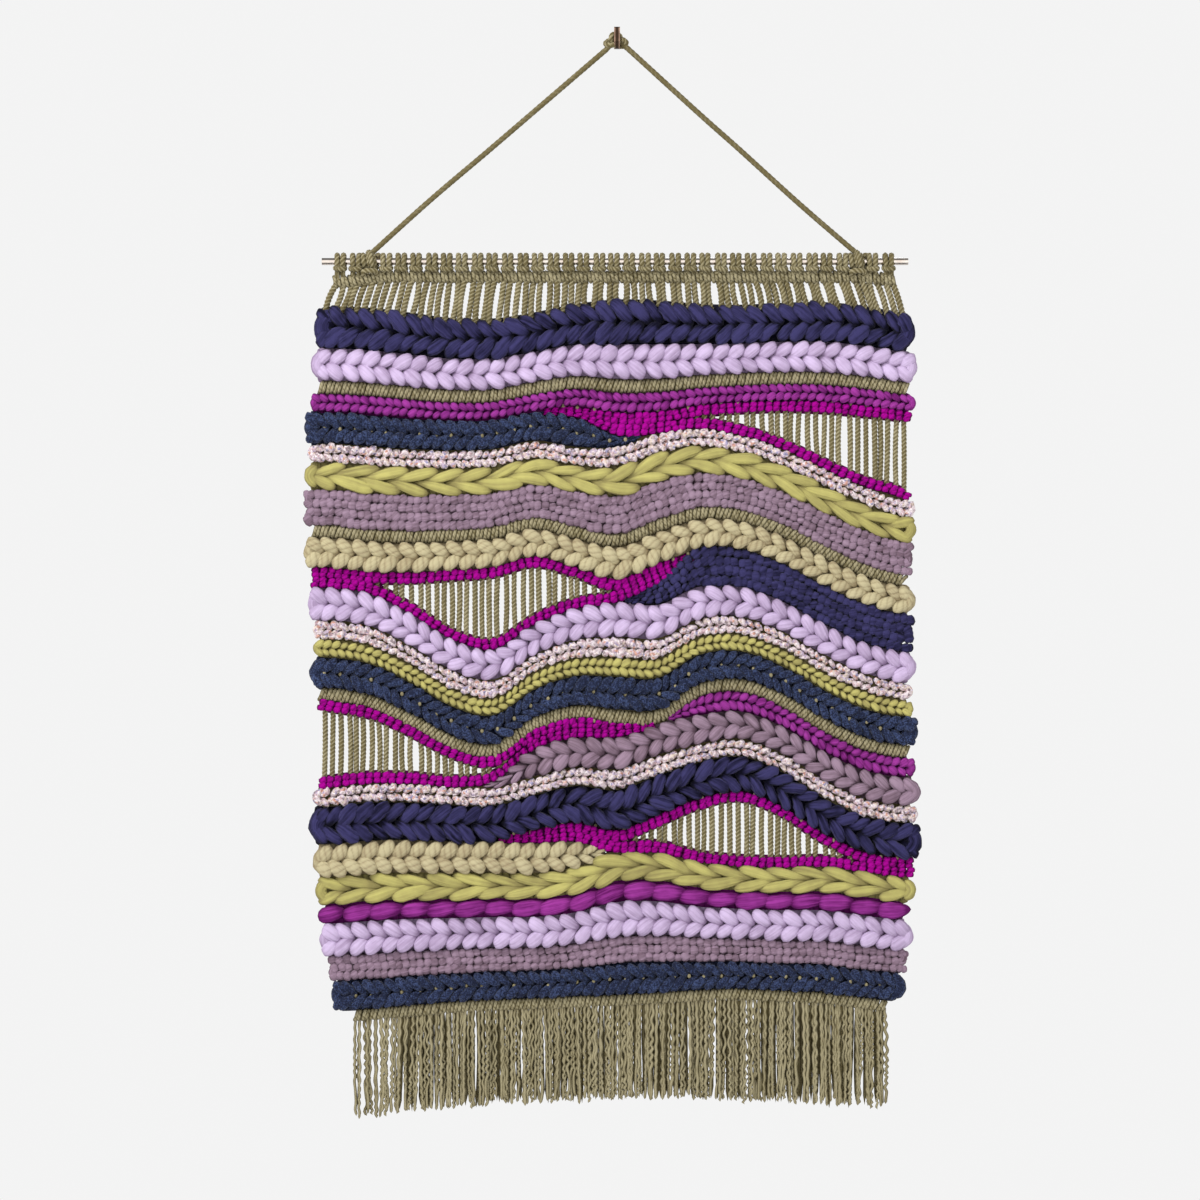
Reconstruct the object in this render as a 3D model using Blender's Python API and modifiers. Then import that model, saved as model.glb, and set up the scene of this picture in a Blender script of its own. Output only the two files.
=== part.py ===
"""A hand-woven wall tapestry on a metal rod, hung from a small strap hook by a cord.

Metres, +Z up. The origin is the middle of the hook's flat back, which lies on the wall at y = 0, and the
front of the tapestry faces -Y. The warp is 74 cords, hung from the rod in 37 lark's head knots and held by a
row of hitches, the heading ridge. They show as bare strands under that ridge, in the slits, and as the
fringe. Everywhere else they run inside the weft bands, each a yarn of its own, stacked from the top down.
"""

import math
from collections import namedtuple

import bmesh
import bpy
import numpy as np
from mathutils import Matrix, Vector

GAP = 0.0003

# Rod, warp cords and the knots that hold them on the rod
ROD_LENGTH = 0.500
ROD_RADIUS = 0.003
ROD_X = -0.0017
ROD_Z = -0.194
WARP_Y = -0.0095
CORD = 0.0046
KNOTS = 37
KNOT_PITCH = 0.01297
FIRST_KNOT_X = -0.2359
KNOT_WIDTH = 0.0108
HANGING_KNOTS = (2, 34)
CORDS_APART = 0.0058
LARK_BAR_DROP = 0.0056
LARK_BAR_OUT = 0.0014

# Heading ridge, the row of hitches under the knots
RIDGE_TALL = 0.0088
RIDGE_DEEP = 0.0100
HEADING_Z = -0.2078
HEADING_SAG = 0.0045

# Body of the cloth
TOP_Z = -0.2345
COLUMN_PITCH = 0.035
COLUMNS = np.arange(-8, 9) * COLUMN_PITCH
SPREAD = 1.045
TAPER = 0.050
LEAST_TALL = 0.0035
END_ROUND = 0.009
LEAST_STEP = 0.003

# Outline of the body: height, left edge, right edge
Edge = namedtuple("Edge", "z left right")
EDGES = (
    Edge(-0.240, -0.252, 0.248),
    Edge(-0.330, -0.261, 0.254),
    Edge(-0.420, -0.264, 0.249),
    Edge(-0.520, -0.257, 0.250),
    Edge(-0.650, -0.258, 0.255),
    Edge(-0.740, -0.251, 0.249),
    Edge(-0.820, -0.236, 0.240),
)

# Hem ridge along the bottom, and the cut ends of the fringe below it: place across, height
Level = namedtuple("Level", "x z")
HEM = (
    Level(-0.224, -0.8370),
    Level(-0.130, -0.8290),
    Level(0.000, -0.8240),
    Level(0.096, -0.8185),
    Level(0.180, -0.8220),
    Level(0.229, -0.8290),
)
FRINGE_END = (
    Level(-0.224, -0.9230),
    Level(-0.100, -0.9110),
    Level(0.030, -0.9065),
    Level(0.150, -0.9100),
    Level(0.232, -0.9140),
)
FRINGE_STRANDS = 128
FRINGE_STRAND = 0.0026
FRINGE_LEFT = -0.2225
FRINGE_RIGHT = 0.2275

# How far each kind of weft stands in front of and behind the warp, and past the cloth's edge
Stitch = namedtuple("Stitch", "front back overhang")
STITCHES = {
    "chunky braid": Stitch(0.0135, 0.0070, 0.005),
    "braid": Stitch(0.0115, 0.0065, 0.004),
    "tape braid": Stitch(0.0095, 0.0060, 0.003),
    "small braid": Stitch(0.0080, 0.0055, 0.001),
    "weave": Stitch(0.0075, 0.0060, 0.001),
    "ridge": Stitch(0.0052, 0.0048, -0.004),
    "row": Stitch(0.0055, 0.0050, 0.000),
}

CROWNED = ("ridge", "row", "small braid", "weave")

# Linear colour, roughness and metallic value of each yarn and metal
Finish = namedtuple("Finish", "colour roughness metallic")
FINISHES = {
    "navy": Finish((0.030, 0.026, 0.080), 0.95, 0.0),
    "lilac": Finish((0.545, 0.440, 0.700), 0.90, 0.0),
    "plum": Finish((0.255, 0.035, 0.240), 0.90, 0.0),
    "olive": Finish((0.275, 0.255, 0.140), 0.90, 0.0),
    "magenta": Finish((0.330, 0.002, 0.190), 0.85, 0.0),
    "denim": Finish((0.030, 0.050, 0.115), 0.95, 0.0),
    "tweed": Finish((0.620, 0.500, 0.500), 0.95, 0.0),
    "lime": Finish((0.430, 0.420, 0.075), 0.85, 0.0),
    "mauve": Finish((0.250, 0.160, 0.225), 0.95, 0.0),
    "sage": Finish((0.450, 0.410, 0.210), 0.95, 0.0),
    "steel": Finish((0.640, 0.600, 0.560), 0.25, 1.0),
    "bronze": Finish((0.260, 0.140, 0.080), 0.35, 1.0),
}

# Weft bands from the top down. tall is the band's own height; start and end are where a part-width band
# tapers off. A slit is two rows of weft that part round bare warp: at middle, over reach to each side of it,
# by up to open.
Weft = namedtuple("Weft", "name yarn stitch tall start end middle reach open")
LEFT, RIGHT = -1.0, 1.0


def band(name, yarn, stitch, tall, start=LEFT, end=RIGHT):
    return Weft(name, yarn, stitch, tall, start, end, 0.0, 0.0, 0.0)


def slit(name, start, end, middle, reach, open_):
    return Weft(name, "magenta", "row", 0.0150, start, end, middle, reach, open_)


WEFTS = (
    band("braid_navy_1", "navy", "chunky braid", 0.030),
    band("braid_lilac_1", "lilac", "braid", 0.024),
    band("ridge_1", "olive", "ridge", 0.009),
    band("braid_plum_1", "plum", "small braid", 0.014),
    slit("slit_1", -0.060, RIGHT, 0.270, 0.230, 0.056),
    band("braid_denim_1", "denim", "braid", 0.023, LEFT, 0.020),
    band("braid_tweed_1", "tweed", "small braid", 0.014),
    band("braid_lime_1", "lime", "tape braid", 0.020),
    band("weave_mauve_1", "mauve", "weave", 0.026),
    band("ridge_2", "olive", "ridge", 0.009),
    band("braid_sage_1", "sage", "braid", 0.022),
    slit("slit_2", LEFT, 0.075, -0.105, 0.115, 0.048),
    band("weave_navy_1", "navy", "weave", 0.030, 0.010, RIGHT),
    band("braid_lilac_2", "lilac", "braid", 0.024),
    band("braid_tweed_2", "tweed", "small braid", 0.014),
    band("braid_lime_2", "lime", "small braid", 0.013),
    band("braid_denim_2", "denim", "braid", 0.023),
    band("ridge_3", "olive", "ridge", 0.009),
    band("braid_plum_2", "plum", "small braid", 0.016, 0.030, RIGHT),
    slit("slit_3", LEFT, 0.030, -0.280, 0.215, 0.052),
    band("braid_mauve_1", "mauve", "braid", 0.022, -0.120, RIGHT),
    band("braid_tweed_3", "tweed", "small braid", 0.014),
    band("braid_navy_2", "navy", "chunky braid", 0.028),
    slit("slit_4", -0.100, RIGHT, 0.105, 0.105, 0.044),
    band("braid_sage_2", "sage", "braid", 0.024, LEFT, 0.000),
    band("braid_lime_3", "lime", "tape braid", 0.020),
    band("braid_plum_3", "plum", "small braid", 0.014),
    band("braid_lilac_3", "lilac", "braid", 0.024),
    band("weave_mauve_2", "mauve", "weave", 0.018),
    band("braid_denim_3", "denim", "braid", 0.022),
)

OPENING_FRONT = -0.030
OPENING_BACK = 0.010

# Hook and hanging cord
HOOK_WIDTH = 0.0050
HOOK_THICK = 0.0015
HOOK_INNER = 0.00665
HOOK_BEND_Z = -0.0045
HOOK_TIP_Z = 0.0052
HOOK_BACK_TOP_Z = 0.0045
HOOK_KNOT_SIZE = Vector((0.0098, 0.0046, 0.0060))
HOOK_KNOT_Z = -0.0036
LEG_START_X = 0.0060
LEG_START_Z = -0.0078
LEG_POINTS = 16
LEG_BOW = 0.0025
LEG_TURN = 0.0030
TURNS = 3
TURN_PITCH = 0.0043
TURN_VALLEY = 0.0014
TURNED_STEPS = 12


def clear_scene():
    for obj in list(bpy.data.objects):
        bpy.data.objects.remove(obj)


def make_collection(name):
    collection = bpy.data.collections.new(name)
    bpy.context.scene.collection.children.link(collection)
    return collection


def make_material(name):
    finish = FINISHES[name]
    material = bpy.data.materials.new(name)
    material.use_nodes = True
    shader = material.node_tree.nodes["Principled BSDF"]
    shader.inputs["Base Color"].default_value = (*finish.colour, 1.0)
    shader.inputs["Roughness"].default_value = finish.roughness
    shader.inputs["Metallic"].default_value = finish.metallic
    return material


def smooth_step(t):
    t = np.clip(t, 0.0, 1.0)
    return t * t * (3 - 2 * t)


def top_edge(x):
    """Upper edge of the first band: two unlike swells, one over each half of the cloth."""
    return TOP_Z + 0.0065 * np.sin(14.0 * x + 0.5) + 0.0040 * np.sin(31.0 * x + 1.9)


def hem_middle(x):
    return np.interp(x, [level.x for level in HEM], [level.z for level in HEM])


def height_of(weft, x):
    """A band's height at each x before the stack is fitted: its own, tapered, and a slit's opening on top."""
    there = smooth_step((x - weft.start) / TAPER) * smooth_step((weft.end - x) / TAPER)
    return weft.tall * there + opening_of(weft, x)


def opening_of(weft, x):
    """A slit's opening, a squared cosine round its middle."""
    if not weft.open:
        return np.zeros_like(x)
    away = np.clip(np.abs(x - weft.middle) / weft.reach, 0.0, 1.0)
    return weft.open * np.cos(away * math.pi / 2) ** 2


def stack_bounds():
    """Heights of the boundaries between the bands at each column, the stack fitted between top edge and hem."""
    heights = np.array([height_of(weft, COLUMNS) for weft in WEFTS])
    room = top_edge(COLUMNS) - (hem_middle(COLUMNS) + RIDGE_TALL / 2 + GAP)
    fit = room / heights.sum(axis=0)
    below = np.cumsum(heights * fit, axis=0)
    return top_edge(COLUMNS) - np.vstack([np.zeros_like(COLUMNS), below]), fit


def side_edges(z):
    heights = [-edge.z for edge in EDGES]
    left = np.interp(-z, heights, [edge.left for edge in EDGES])
    right = np.interp(-z, heights, [edge.right for edge in EDGES])
    return left, right


def band_section(low, high, stitch, kind):
    """Outline of a band across its length: a flat back and a front with one crown, or with a broad face."""
    tall = high - low
    middle = (low + high) / 2
    back = WARP_Y + stitch.back
    front = WARP_Y - stitch.front
    shoulder = WARP_Y - 0.35 * stitch.front
    if kind in CROWNED:
        rim = [(shoulder, low), (back, low + 0.15 * tall), (back, high - 0.15 * tall)]
        return rim + [(shoulder, high), (front, middle)]
    rim = [(shoulder, low), (back, low + 0.1 * tall), (back, high - 0.1 * tall)]
    return rim + [(shoulder, high), (front, high - 0.27 * tall), (front, low + 0.27 * tall)]


def loft(sections, name):
    """A closed mesh through sections of equal point count, listed along +X, each a list of points."""
    mesh = bpy.data.meshes.new(name)
    points = [point for section in sections for point in section]
    around = len(sections[0])
    faces = [tuple(reversed(range(around)))]
    for row in range(len(sections) - 1):
        for i in range(around):
            j = (i + 1) % around
            a, b = row * around, (row + 1) * around
            faces.append((a + i, a + j, b + j, b + i))
    last = (len(sections) - 1) * around
    faces.append(tuple(last + i for i in range(around)))
    mesh.from_pydata(points, [], faces)
    work = bmesh.new()
    work.from_mesh(mesh)
    bmesh.ops.recalc_face_normals(work, faces=work.faces)
    work.to_mesh(mesh)
    work.free()
    return mesh


def add_object(name, mesh, collection, material=None):
    obj = bpy.data.objects.new(name, mesh)
    collection.objects.link(obj)
    if material:
        mesh.materials.append(material)
    return obj


def band_columns(low, high, left, right):
    """Places along a band: its two ends, one near each for the rounding, and the columns between them."""
    across = np.linspace(left, right, 500)
    enough = across[np.interp(across, COLUMNS, high - low) > LEAST_TALL]
    start, end = float(enough[0]), float(enough[-1])
    inner = [float(x) for x in COLUMNS if start + LEAST_STEP < x < end - LEAST_STEP]
    rounding = [
        x for x in (start + END_ROUND, end - END_ROUND) if min(abs(x - column) for column in inner) > LEAST_STEP
    ]
    return sorted([start, end] + inner + rounding)


def band_mesh(name, weft, low, high):
    """The loft of one band between two boundaries, its ends drawn in and its neighbours a gap away."""
    stitch = STITCHES[weft.stitch]
    level = float(np.interp(0.0, COLUMNS, (low + high) / 2))
    left, right = side_edges(level)
    places = band_columns(low, high, left - stitch.overhang, right + stitch.overhang)
    sections = []
    for x in places:
        under = float(np.interp(x, COLUMNS, low)) + GAP / 2
        over = float(np.interp(x, COLUMNS, high)) - GAP / 2
        slim = 0.62 if x in (places[0], places[-1]) else 1.0
        middle, half = (under + over) / 2, (over - under) / 2 * slim
        flat = Stitch(stitch.front * slim, stitch.back * slim, 0.0)
        outline = band_section(middle - half, middle + half, flat, weft.stitch)
        sections.append([(x, y, z) for y, z in outline])
    return loft(sections, name)


def curve_mesh(curve):
    """The closed mesh of a curve, its caps welded to its sides."""
    holder = bpy.data.objects.new(curve.name, curve)
    bpy.context.scene.collection.objects.link(holder)
    graph = bpy.context.evaluated_depsgraph_get()
    mesh = bpy.data.meshes.new_from_object(holder.evaluated_get(graph))
    bpy.data.objects.remove(holder)
    bpy.data.curves.remove(curve)
    weld(mesh)
    return mesh


def strands_mesh(name, paths, thickness, roundness=0):
    """Round strands along paths, as one mesh of separate closed bodies. Roundness 0 gives four sides."""
    curve = bpy.data.curves.new(name, "CURVE")
    curve.dimensions = "3D"
    curve.bevel_depth = thickness / 2
    curve.bevel_resolution = roundness
    curve.use_fill_caps = True
    for path in paths:
        spline = curve.splines.new("POLY")
        spline.points.add(len(path) - 1)
        for point, place in zip(spline.points, path):
            point.co = (*place, 1.0)
    return curve_mesh(curve)


def side_view_mesh(name, outline, width):
    """A flat outline of (y, z) places carried across a width in X, with its middle at x = 0."""
    curve = bpy.data.curves.new(name, "CURVE")
    curve.dimensions = "2D"
    curve.fill_mode = "BOTH"
    curve.extrude = width / 2
    spline = curve.splines.new("POLY")
    spline.points.add(len(outline) - 1)
    spline.use_cyclic_u = True
    for point, (y, z) in zip(spline.points, outline):
        point.co = (y, z, 0.0, 1.0)
    mesh = curve_mesh(curve)
    # The outline's own X and Y become Y and Z, and its depth runs along X.
    mesh.transform(Matrix(((0, 0, 1, 0), (1, 0, 0, 0), (0, 1, 0, 0), (0, 0, 0, 1))))
    return mesh


def weld(mesh):
    """Merges points that coincide and faces that lie in one plane, and turns every face outward."""
    work = bmesh.new()
    work.from_mesh(mesh)
    bmesh.ops.remove_doubles(work, verts=work.verts, dist=1e-6)
    bmesh.ops.dissolve_limit(work, angle_limit=0.001, verts=work.verts, edges=work.edges)
    bmesh.ops.recalc_face_normals(work, faces=work.faces)
    work.to_mesh(mesh)
    work.free()


def join(base, mesh, name, helpers):
    """Adds the mesh to the base object with a Boolean union. The mesh's own bodies stand apart."""
    tool = add_object(name, mesh, helpers)
    tool.hide_render = True
    tool.display_type = "WIRE"
    modifier = base.modifiers.new(name, "BOOLEAN")
    modifier.operation = "UNION"
    modifier.solver = "EXACT"
    modifier.object = tool


def knot_x(index):
    """Place of a lark's head on the rod: an even pitch with a small sway, as knots slide under the hand."""
    return FIRST_KNOT_X + index * KNOT_PITCH + 0.0004 * math.sin(2.3 * index)


def heading_z(x):
    """Middle of the heading ridge, which droops over the last 40 mm at each end."""
    left = smooth_step((-0.195 - x) / 0.040)
    right = smooth_step((x - 0.205) / 0.035)
    return HEADING_Z - HEADING_SAG * (left + 0.6 * right)


def ridge_mesh(name, start, end, middle_z, count):
    """A ridge of hitches as one crowned bar along middle_z(x)."""
    sections = []
    for x in np.linspace(start, end, count):
        slim = 0.7 if x in (start, end) else 1.0
        half = RIDGE_TALL / 2 * slim
        deep = RIDGE_DEEP / 2 * slim
        z = float(middle_z(x))
        outline = [(deep, -half * 0.5), (deep, half * 0.5), (0.0, half)]
        outline += [(-deep, half * 0.5), (-deep, -half * 0.5), (0.0, -half)]
        sections.append([(x, WARP_Y + y, z + dz) for y, dz in outline])
    return loft(sections, name)


def lark_outline():
    """A knot from the side, as places forward of and above the rod's axis: an arch of cord over the rod, its
    two legs down to the heading ridge, and the crossbar as a rounded step on the front leg."""
    steps = 3
    outer = ROD_RADIUS + GAP + CORD
    inner = (ROD_RADIUS + GAP) / math.cos(math.pi / 2 / steps)
    foot = ROD_Z - HEADING_Z + 0.0005
    angles = [math.pi * i / steps for i in range(steps + 1)]
    points = [(outer * math.cos(a), outer * math.sin(a)) for a in angles]
    points += [(-outer, -foot), (-inner, -foot)]
    points += [(inner * math.cos(a), inner * math.sin(a)) for a in reversed(angles)]
    points += [(inner, -foot), (outer, -foot), (outer, -LARK_BAR_DROP - CORD * 0.6)]
    return points + [(outer + LARK_BAR_OUT, -LARK_BAR_DROP), (outer, -LARK_BAR_DROP + CORD * 0.6)]


def covered_lark_outline():
    """The knot under the hanging cord's turns: only its crossbar and front leg show, below the turns."""
    outer = ROD_RADIUS + GAP + CORD
    foot = ROD_Z - HEADING_Z + 0.0005
    top = outer + GAP
    return [
        (ROD_RADIUS, -top),
        (ROD_RADIUS, -foot),
        (outer, -foot),
        (outer + LARK_BAR_OUT, -(top + foot) / 2),
        (outer, -top),
    ]


def larks_mesh(name):
    """Every lark's head, each a side view carried across the width of its two cords."""
    knots = bmesh.new()
    for index in range(KNOTS):
        outline = covered_lark_outline() if index in HANGING_KNOTS else lark_outline()
        foot = min(up for forward, up in outline)
        drop = float(heading_z(knot_x(index))) - HEADING_Z
        side_view = [
            (WARP_Y - forward, ROD_Z + up + (drop if up == foot else 0.0)) for forward, up in outline
        ]
        knot = side_view_mesh("lark", side_view, KNOT_WIDTH)
        knot.transform(Matrix.Translation((knot_x(index), 0.0, 0.0)))
        knots.from_mesh(knot)
        bpy.data.meshes.remove(knot)
    mesh = bpy.data.meshes.new(name)
    knots.to_mesh(mesh)
    knots.free()
    return mesh


def warp_x(number, down):
    """Place of a warp cord, from 0 at the rod to 1 in the cloth, where the warp is spread a little wider."""
    index, side = divmod(number, 2)
    at_rod = knot_x(index) + (side - 0.5) * CORDS_APART
    lean = 0.0006 * math.sin(1.9 * number) + 0.0010 * math.sin(0.47 * number + 1.0)
    in_cloth = (at_rod - ROD_X) * SPREAD + ROD_X + lean
    return at_rod + (in_cloth - at_rod) * down


def top_strands_mesh(name):
    """Bare warp from the heading ridge to the first band."""
    slope = 0.0012
    paths = []
    for number in range(2 * KNOTS):
        x0, x1 = warp_x(number, 0.0), warp_x(number, 1.0)
        top = float(heading_z(x0))
        end = float(np.interp(x1, COLUMNS, top_edge(COLUMNS))) + slope
        paths.append([(x0, WARP_Y, top), (x1, WARP_Y, end)])
    return strands_mesh(name, paths, CORD * 0.92)


def build_heading(parts, helpers, materials):
    start = knot_x(0) - KNOT_WIDTH / 2
    end = knot_x(KNOTS - 1) + KNOT_WIDTH / 2
    bar = ridge_mesh("heading", start, end, heading_z, 15)
    heading = add_object("heading", bar, parts, materials["olive"])
    join(heading, larks_mesh("larks"), "larks", helpers)
    join(heading, top_strands_mesh("top_strands"), "top_strands", helpers)


def build_rod(parts, materials):
    bpy.ops.mesh.primitive_cylinder_add(
        vertices=20, radius=ROD_RADIUS, depth=ROD_LENGTH, location=(ROD_X, WARP_Y, ROD_Z)
    )
    rod = bpy.context.active_object
    rod.rotation_euler = (0.0, math.pi / 2, 0.0)
    rod.name = "rod"
    move_to(rod, parts)
    rod.data.materials.append(materials["steel"])


def move_to(obj, collection):
    for old in list(obj.users_collection):
        old.objects.unlink(obj)
    collection.objects.link(obj)


def build_hook(parts, materials):
    """A strap bent to a J: a flat back on the wall, a half-round saddle, and a front leg that leans out."""
    steps = 10
    centre_y = -(HOOK_THICK + HOOK_INNER)
    outer = HOOK_INNER + HOOK_THICK
    down = [math.pi * i / steps for i in range(steps + 1)]
    outside = [(centre_y + outer * math.cos(a), HOOK_BEND_Z - outer * math.sin(a)) for a in down]
    inside = [
        (centre_y + HOOK_INNER * math.cos(a), HOOK_BEND_Z - HOOK_INNER * math.sin(a))
        for a in reversed(down)
    ]
    lean = 0.0006
    front = [(centre_y - outer - lean, HOOK_TIP_Z - HOOK_THICK / 2)]
    front += [(centre_y - outer - lean + HOOK_THICK / 2, HOOK_TIP_Z)]
    front += [(centre_y - HOOK_INNER - lean, HOOK_TIP_Z - HOOK_THICK / 2)]
    back = [(-HOOK_THICK, HOOK_BACK_TOP_Z), (0.0, HOOK_BACK_TOP_Z)]
    outline = outside + front + inside + back
    mesh = side_view_mesh("hook", outline, HOOK_WIDTH)
    add_object("hook", mesh, parts, materials["bronze"])


def leg_path(side):
    """One leg of the hanging cord, nearly taut, from the hook's knot to the rod, turning down at the rod."""
    knot = knot_x(HANGING_KNOTS[0] if side < 0 else HANGING_KNOTS[1])
    start = Vector((side * LEG_START_X, WARP_Y, LEG_START_Z))
    end = Vector((knot, WARP_Y, ROD_Z + ROD_RADIUS + CORD * 0.7))
    path = []
    for i in range(LEG_POINTS):
        t = i / (LEG_POINTS - 1)
        bow = LEG_BOW * math.sin(math.pi * t)
        turn = LEG_TURN * float(smooth_step((t - 0.9) / 0.1))
        path.append(start.lerp(end, t) + Vector((0.0, 0.0, turn - bow)))
    return path


def turns_mesh(name, centre_x):
    """The hanging cord's turns round the rod: a ribbed profile turned about the rod's axis."""
    width = TURNS * TURN_PITCH
    bore = (ROD_RADIUS + GAP) / math.cos(math.pi / TURNED_STEPS)
    crest = ROD_RADIUS + GAP + CORD
    profile = [(-width / 2, bore)]
    for turn in range(TURNS):
        middle = (turn + 0.5) * TURN_PITCH - width / 2
        profile += [(middle - TURN_PITCH * 0.28, crest), (middle + TURN_PITCH * 0.28, crest)]
        if turn < TURNS - 1:
            profile.append((middle + TURN_PITCH / 2, crest - TURN_VALLEY))
    profile.append((width / 2, bore))
    flat = bpy.data.meshes.new(name)
    edges = [(i, (i + 1) % len(profile)) for i in range(len(profile))]
    flat.from_pydata([(along, 0.0, radius) for along, radius in profile], edges, [])
    holder = add_object(name, flat, bpy.context.scene.collection)
    screw = holder.modifiers.new("turned", "SCREW")
    screw.axis = "X"
    screw.steps = TURNED_STEPS
    screw.render_steps = TURNED_STEPS
    screw.use_merge_vertices = True
    screw.merge_threshold = 0.00001
    graph = bpy.context.evaluated_depsgraph_get()
    mesh = bpy.data.meshes.new_from_object(holder.evaluated_get(graph))
    bpy.data.objects.remove(holder)
    weld(mesh)
    mesh.transform(Matrix.Translation((centre_x, WARP_Y, ROD_Z)))
    return mesh


def build_hanging_cord(parts, helpers, materials):
    """The knot in the hook, the two legs and the turns round the rod, one cord throughout."""
    bpy.ops.mesh.primitive_uv_sphere_add(segments=12, ring_count=7, radius=1.0)
    knot = bpy.context.active_object
    knot.data.transform(Matrix.Diagonal((*HOOK_KNOT_SIZE, 1.0)))
    knot.data.transform(Matrix.Translation((0.0, WARP_Y, HOOK_KNOT_Z)))
    knot.name = "hanging_cord"
    move_to(knot, parts)
    knot.data.materials.append(materials["olive"])
    for side, word in ((-1, "left"), (1, "right")):
        leg = strands_mesh("leg_" + word, [leg_path(side)], CORD, roundness=2)
        join(knot, leg, "leg_" + word, helpers)
        index = HANGING_KNOTS[0] if side < 0 else HANGING_KNOTS[1]
        join(knot, turns_mesh("turns_" + word, knot_x(index)), "turns_" + word, helpers)


def cut(base, mesh, name, helpers):
    """Takes the mesh away from the base object with a Boolean difference."""
    tool = add_object(name, mesh, helpers)
    tool.hide_render = True
    tool.display_type = "WIRE"
    modifier = base.modifiers.new(name, "BOOLEAN")
    modifier.operation = "DIFFERENCE"
    modifier.solver = "EXACT"
    modifier.object = tool


def opening_mesh(name, opening, middle_z):
    """The space between a slit's two rows, a lens seen from the front, right through the cloth."""
    open_at = np.flatnonzero(opening)
    sections = []
    for i in range(max(open_at[0] - 1, 0), min(open_at[-1] + 2, len(COLUMNS))):
        half = max(0.0002, opening[i] / 2)
        corners = ((OPENING_BACK, -half), (OPENING_BACK, half), (OPENING_FRONT, half), (OPENING_FRONT, -half))
        sections.append([(COLUMNS[i], y, middle_z[i] + dz) for y, dz in corners])
    return loft(sections, name)


def build_slit(weft, low, high, fit, parts, helpers, materials):
    """Two rows of weft that part round bare warp: one band with a lens cut out, and the strands across it."""
    slit_object = add_object(weft.name, band_mesh(weft.name, weft, low, high), parts, materials[weft.yarn])
    middle_z = (low + high) / 2
    opening = opening_of(weft, COLUMNS) * fit
    cut(slit_object, opening_mesh(weft.name + "_opening", opening, middle_z), weft.name + "_opening", helpers)
    left, right = side_edges(float(np.interp(weft.middle, COLUMNS, middle_z)))
    paths = []
    for number in range(2 * KNOTS):
        x = warp_x(number, 1.0)
        half = float(np.interp(x, COLUMNS, opening)) / 2
        if half < 0.0015 or not left + 0.002 < x < right - 0.002:
            continue
        centre = float(np.interp(x, COLUMNS, middle_z))
        over = half + float(np.interp(x, COLUMNS, fit)) * weft.tall * 0.3
        paths.append([(x, WARP_Y, centre - over), (x, WARP_Y, centre + over)])
    join(slit_object, strands_mesh(weft.name + "_warp", paths, CORD * 0.92), weft.name + "_warp", helpers)


def build_wefts(parts, helpers, materials):
    bounds, fit = stack_bounds()
    for weft, high, low in zip(WEFTS, bounds[:-1], bounds[1:]):
        if weft.open:
            build_slit(weft, low, high, fit, parts, helpers, materials)
        else:
            mesh = band_mesh(weft.name, weft, low, high)
            add_object(weft.name, mesh, parts, materials[weft.yarn])


def build_fringe(parts, helpers, materials):
    """The hem ridge and the warp's cut ends below it, in two layers, each strand a little out of true."""
    bar = ridge_mesh("fringe", HEM[0].x, HEM[-1].x, hem_middle, 15)
    fringe = add_object("fringe", bar, parts, materials["olive"])
    ends = [level.x for level in FRINGE_END], [level.z for level in FRINGE_END]
    for layer, depth in (("front", -0.0018), ("back", 0.0018)):
        paths = []
        for number in range(FRINGE_STRANDS):
            if (number % 2 == 0) != (layer == "front"):
                continue
            x = FRINGE_LEFT + (FRINGE_RIGHT - FRINGE_LEFT) * number / (FRINGE_STRANDS - 1)
            drift = 0.0008 * math.sin(1.7 * number)
            end = float(np.interp(x, *ends)) + 0.003 * math.sin(2.9 * number + 0.6)
            paths.append([(x, WARP_Y + depth, float(hem_middle(x))), (x + drift, WARP_Y + depth, end)])
        join(fringe, strands_mesh("fringe_" + layer, paths, FRINGE_STRAND), "fringe_" + layer, helpers)


def main():
    clear_scene()
    parts = make_collection("wall_tapestry")
    helpers = make_collection("helpers")
    materials = {name: make_material(name) for name in FINISHES}
    build_hook(parts, materials)
    build_rod(parts, materials)
    build_hanging_cord(parts, helpers, materials)
    build_heading(parts, helpers, materials)
    build_wefts(parts, helpers, materials)
    build_fringe(parts, helpers, materials)


main()
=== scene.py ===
"""Looks of the tapestry: every yarn, cord, knot and strand as a surface worked out from the frame.

Metres, +Z up, the front faces -Y. A yarn is a tube: rings of points carried along a path. A path runs on a
course, the middle line of one band of weft, which is read from that band's solid. Across means up the front
of the cloth, square to the course, and forward means out of the cloth, along -Y. In the formulas u runs from
0 to 1 along a tube, s is the distance along a course, and half is half the band's height there.
"""

import math
from collections import namedtuple

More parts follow.
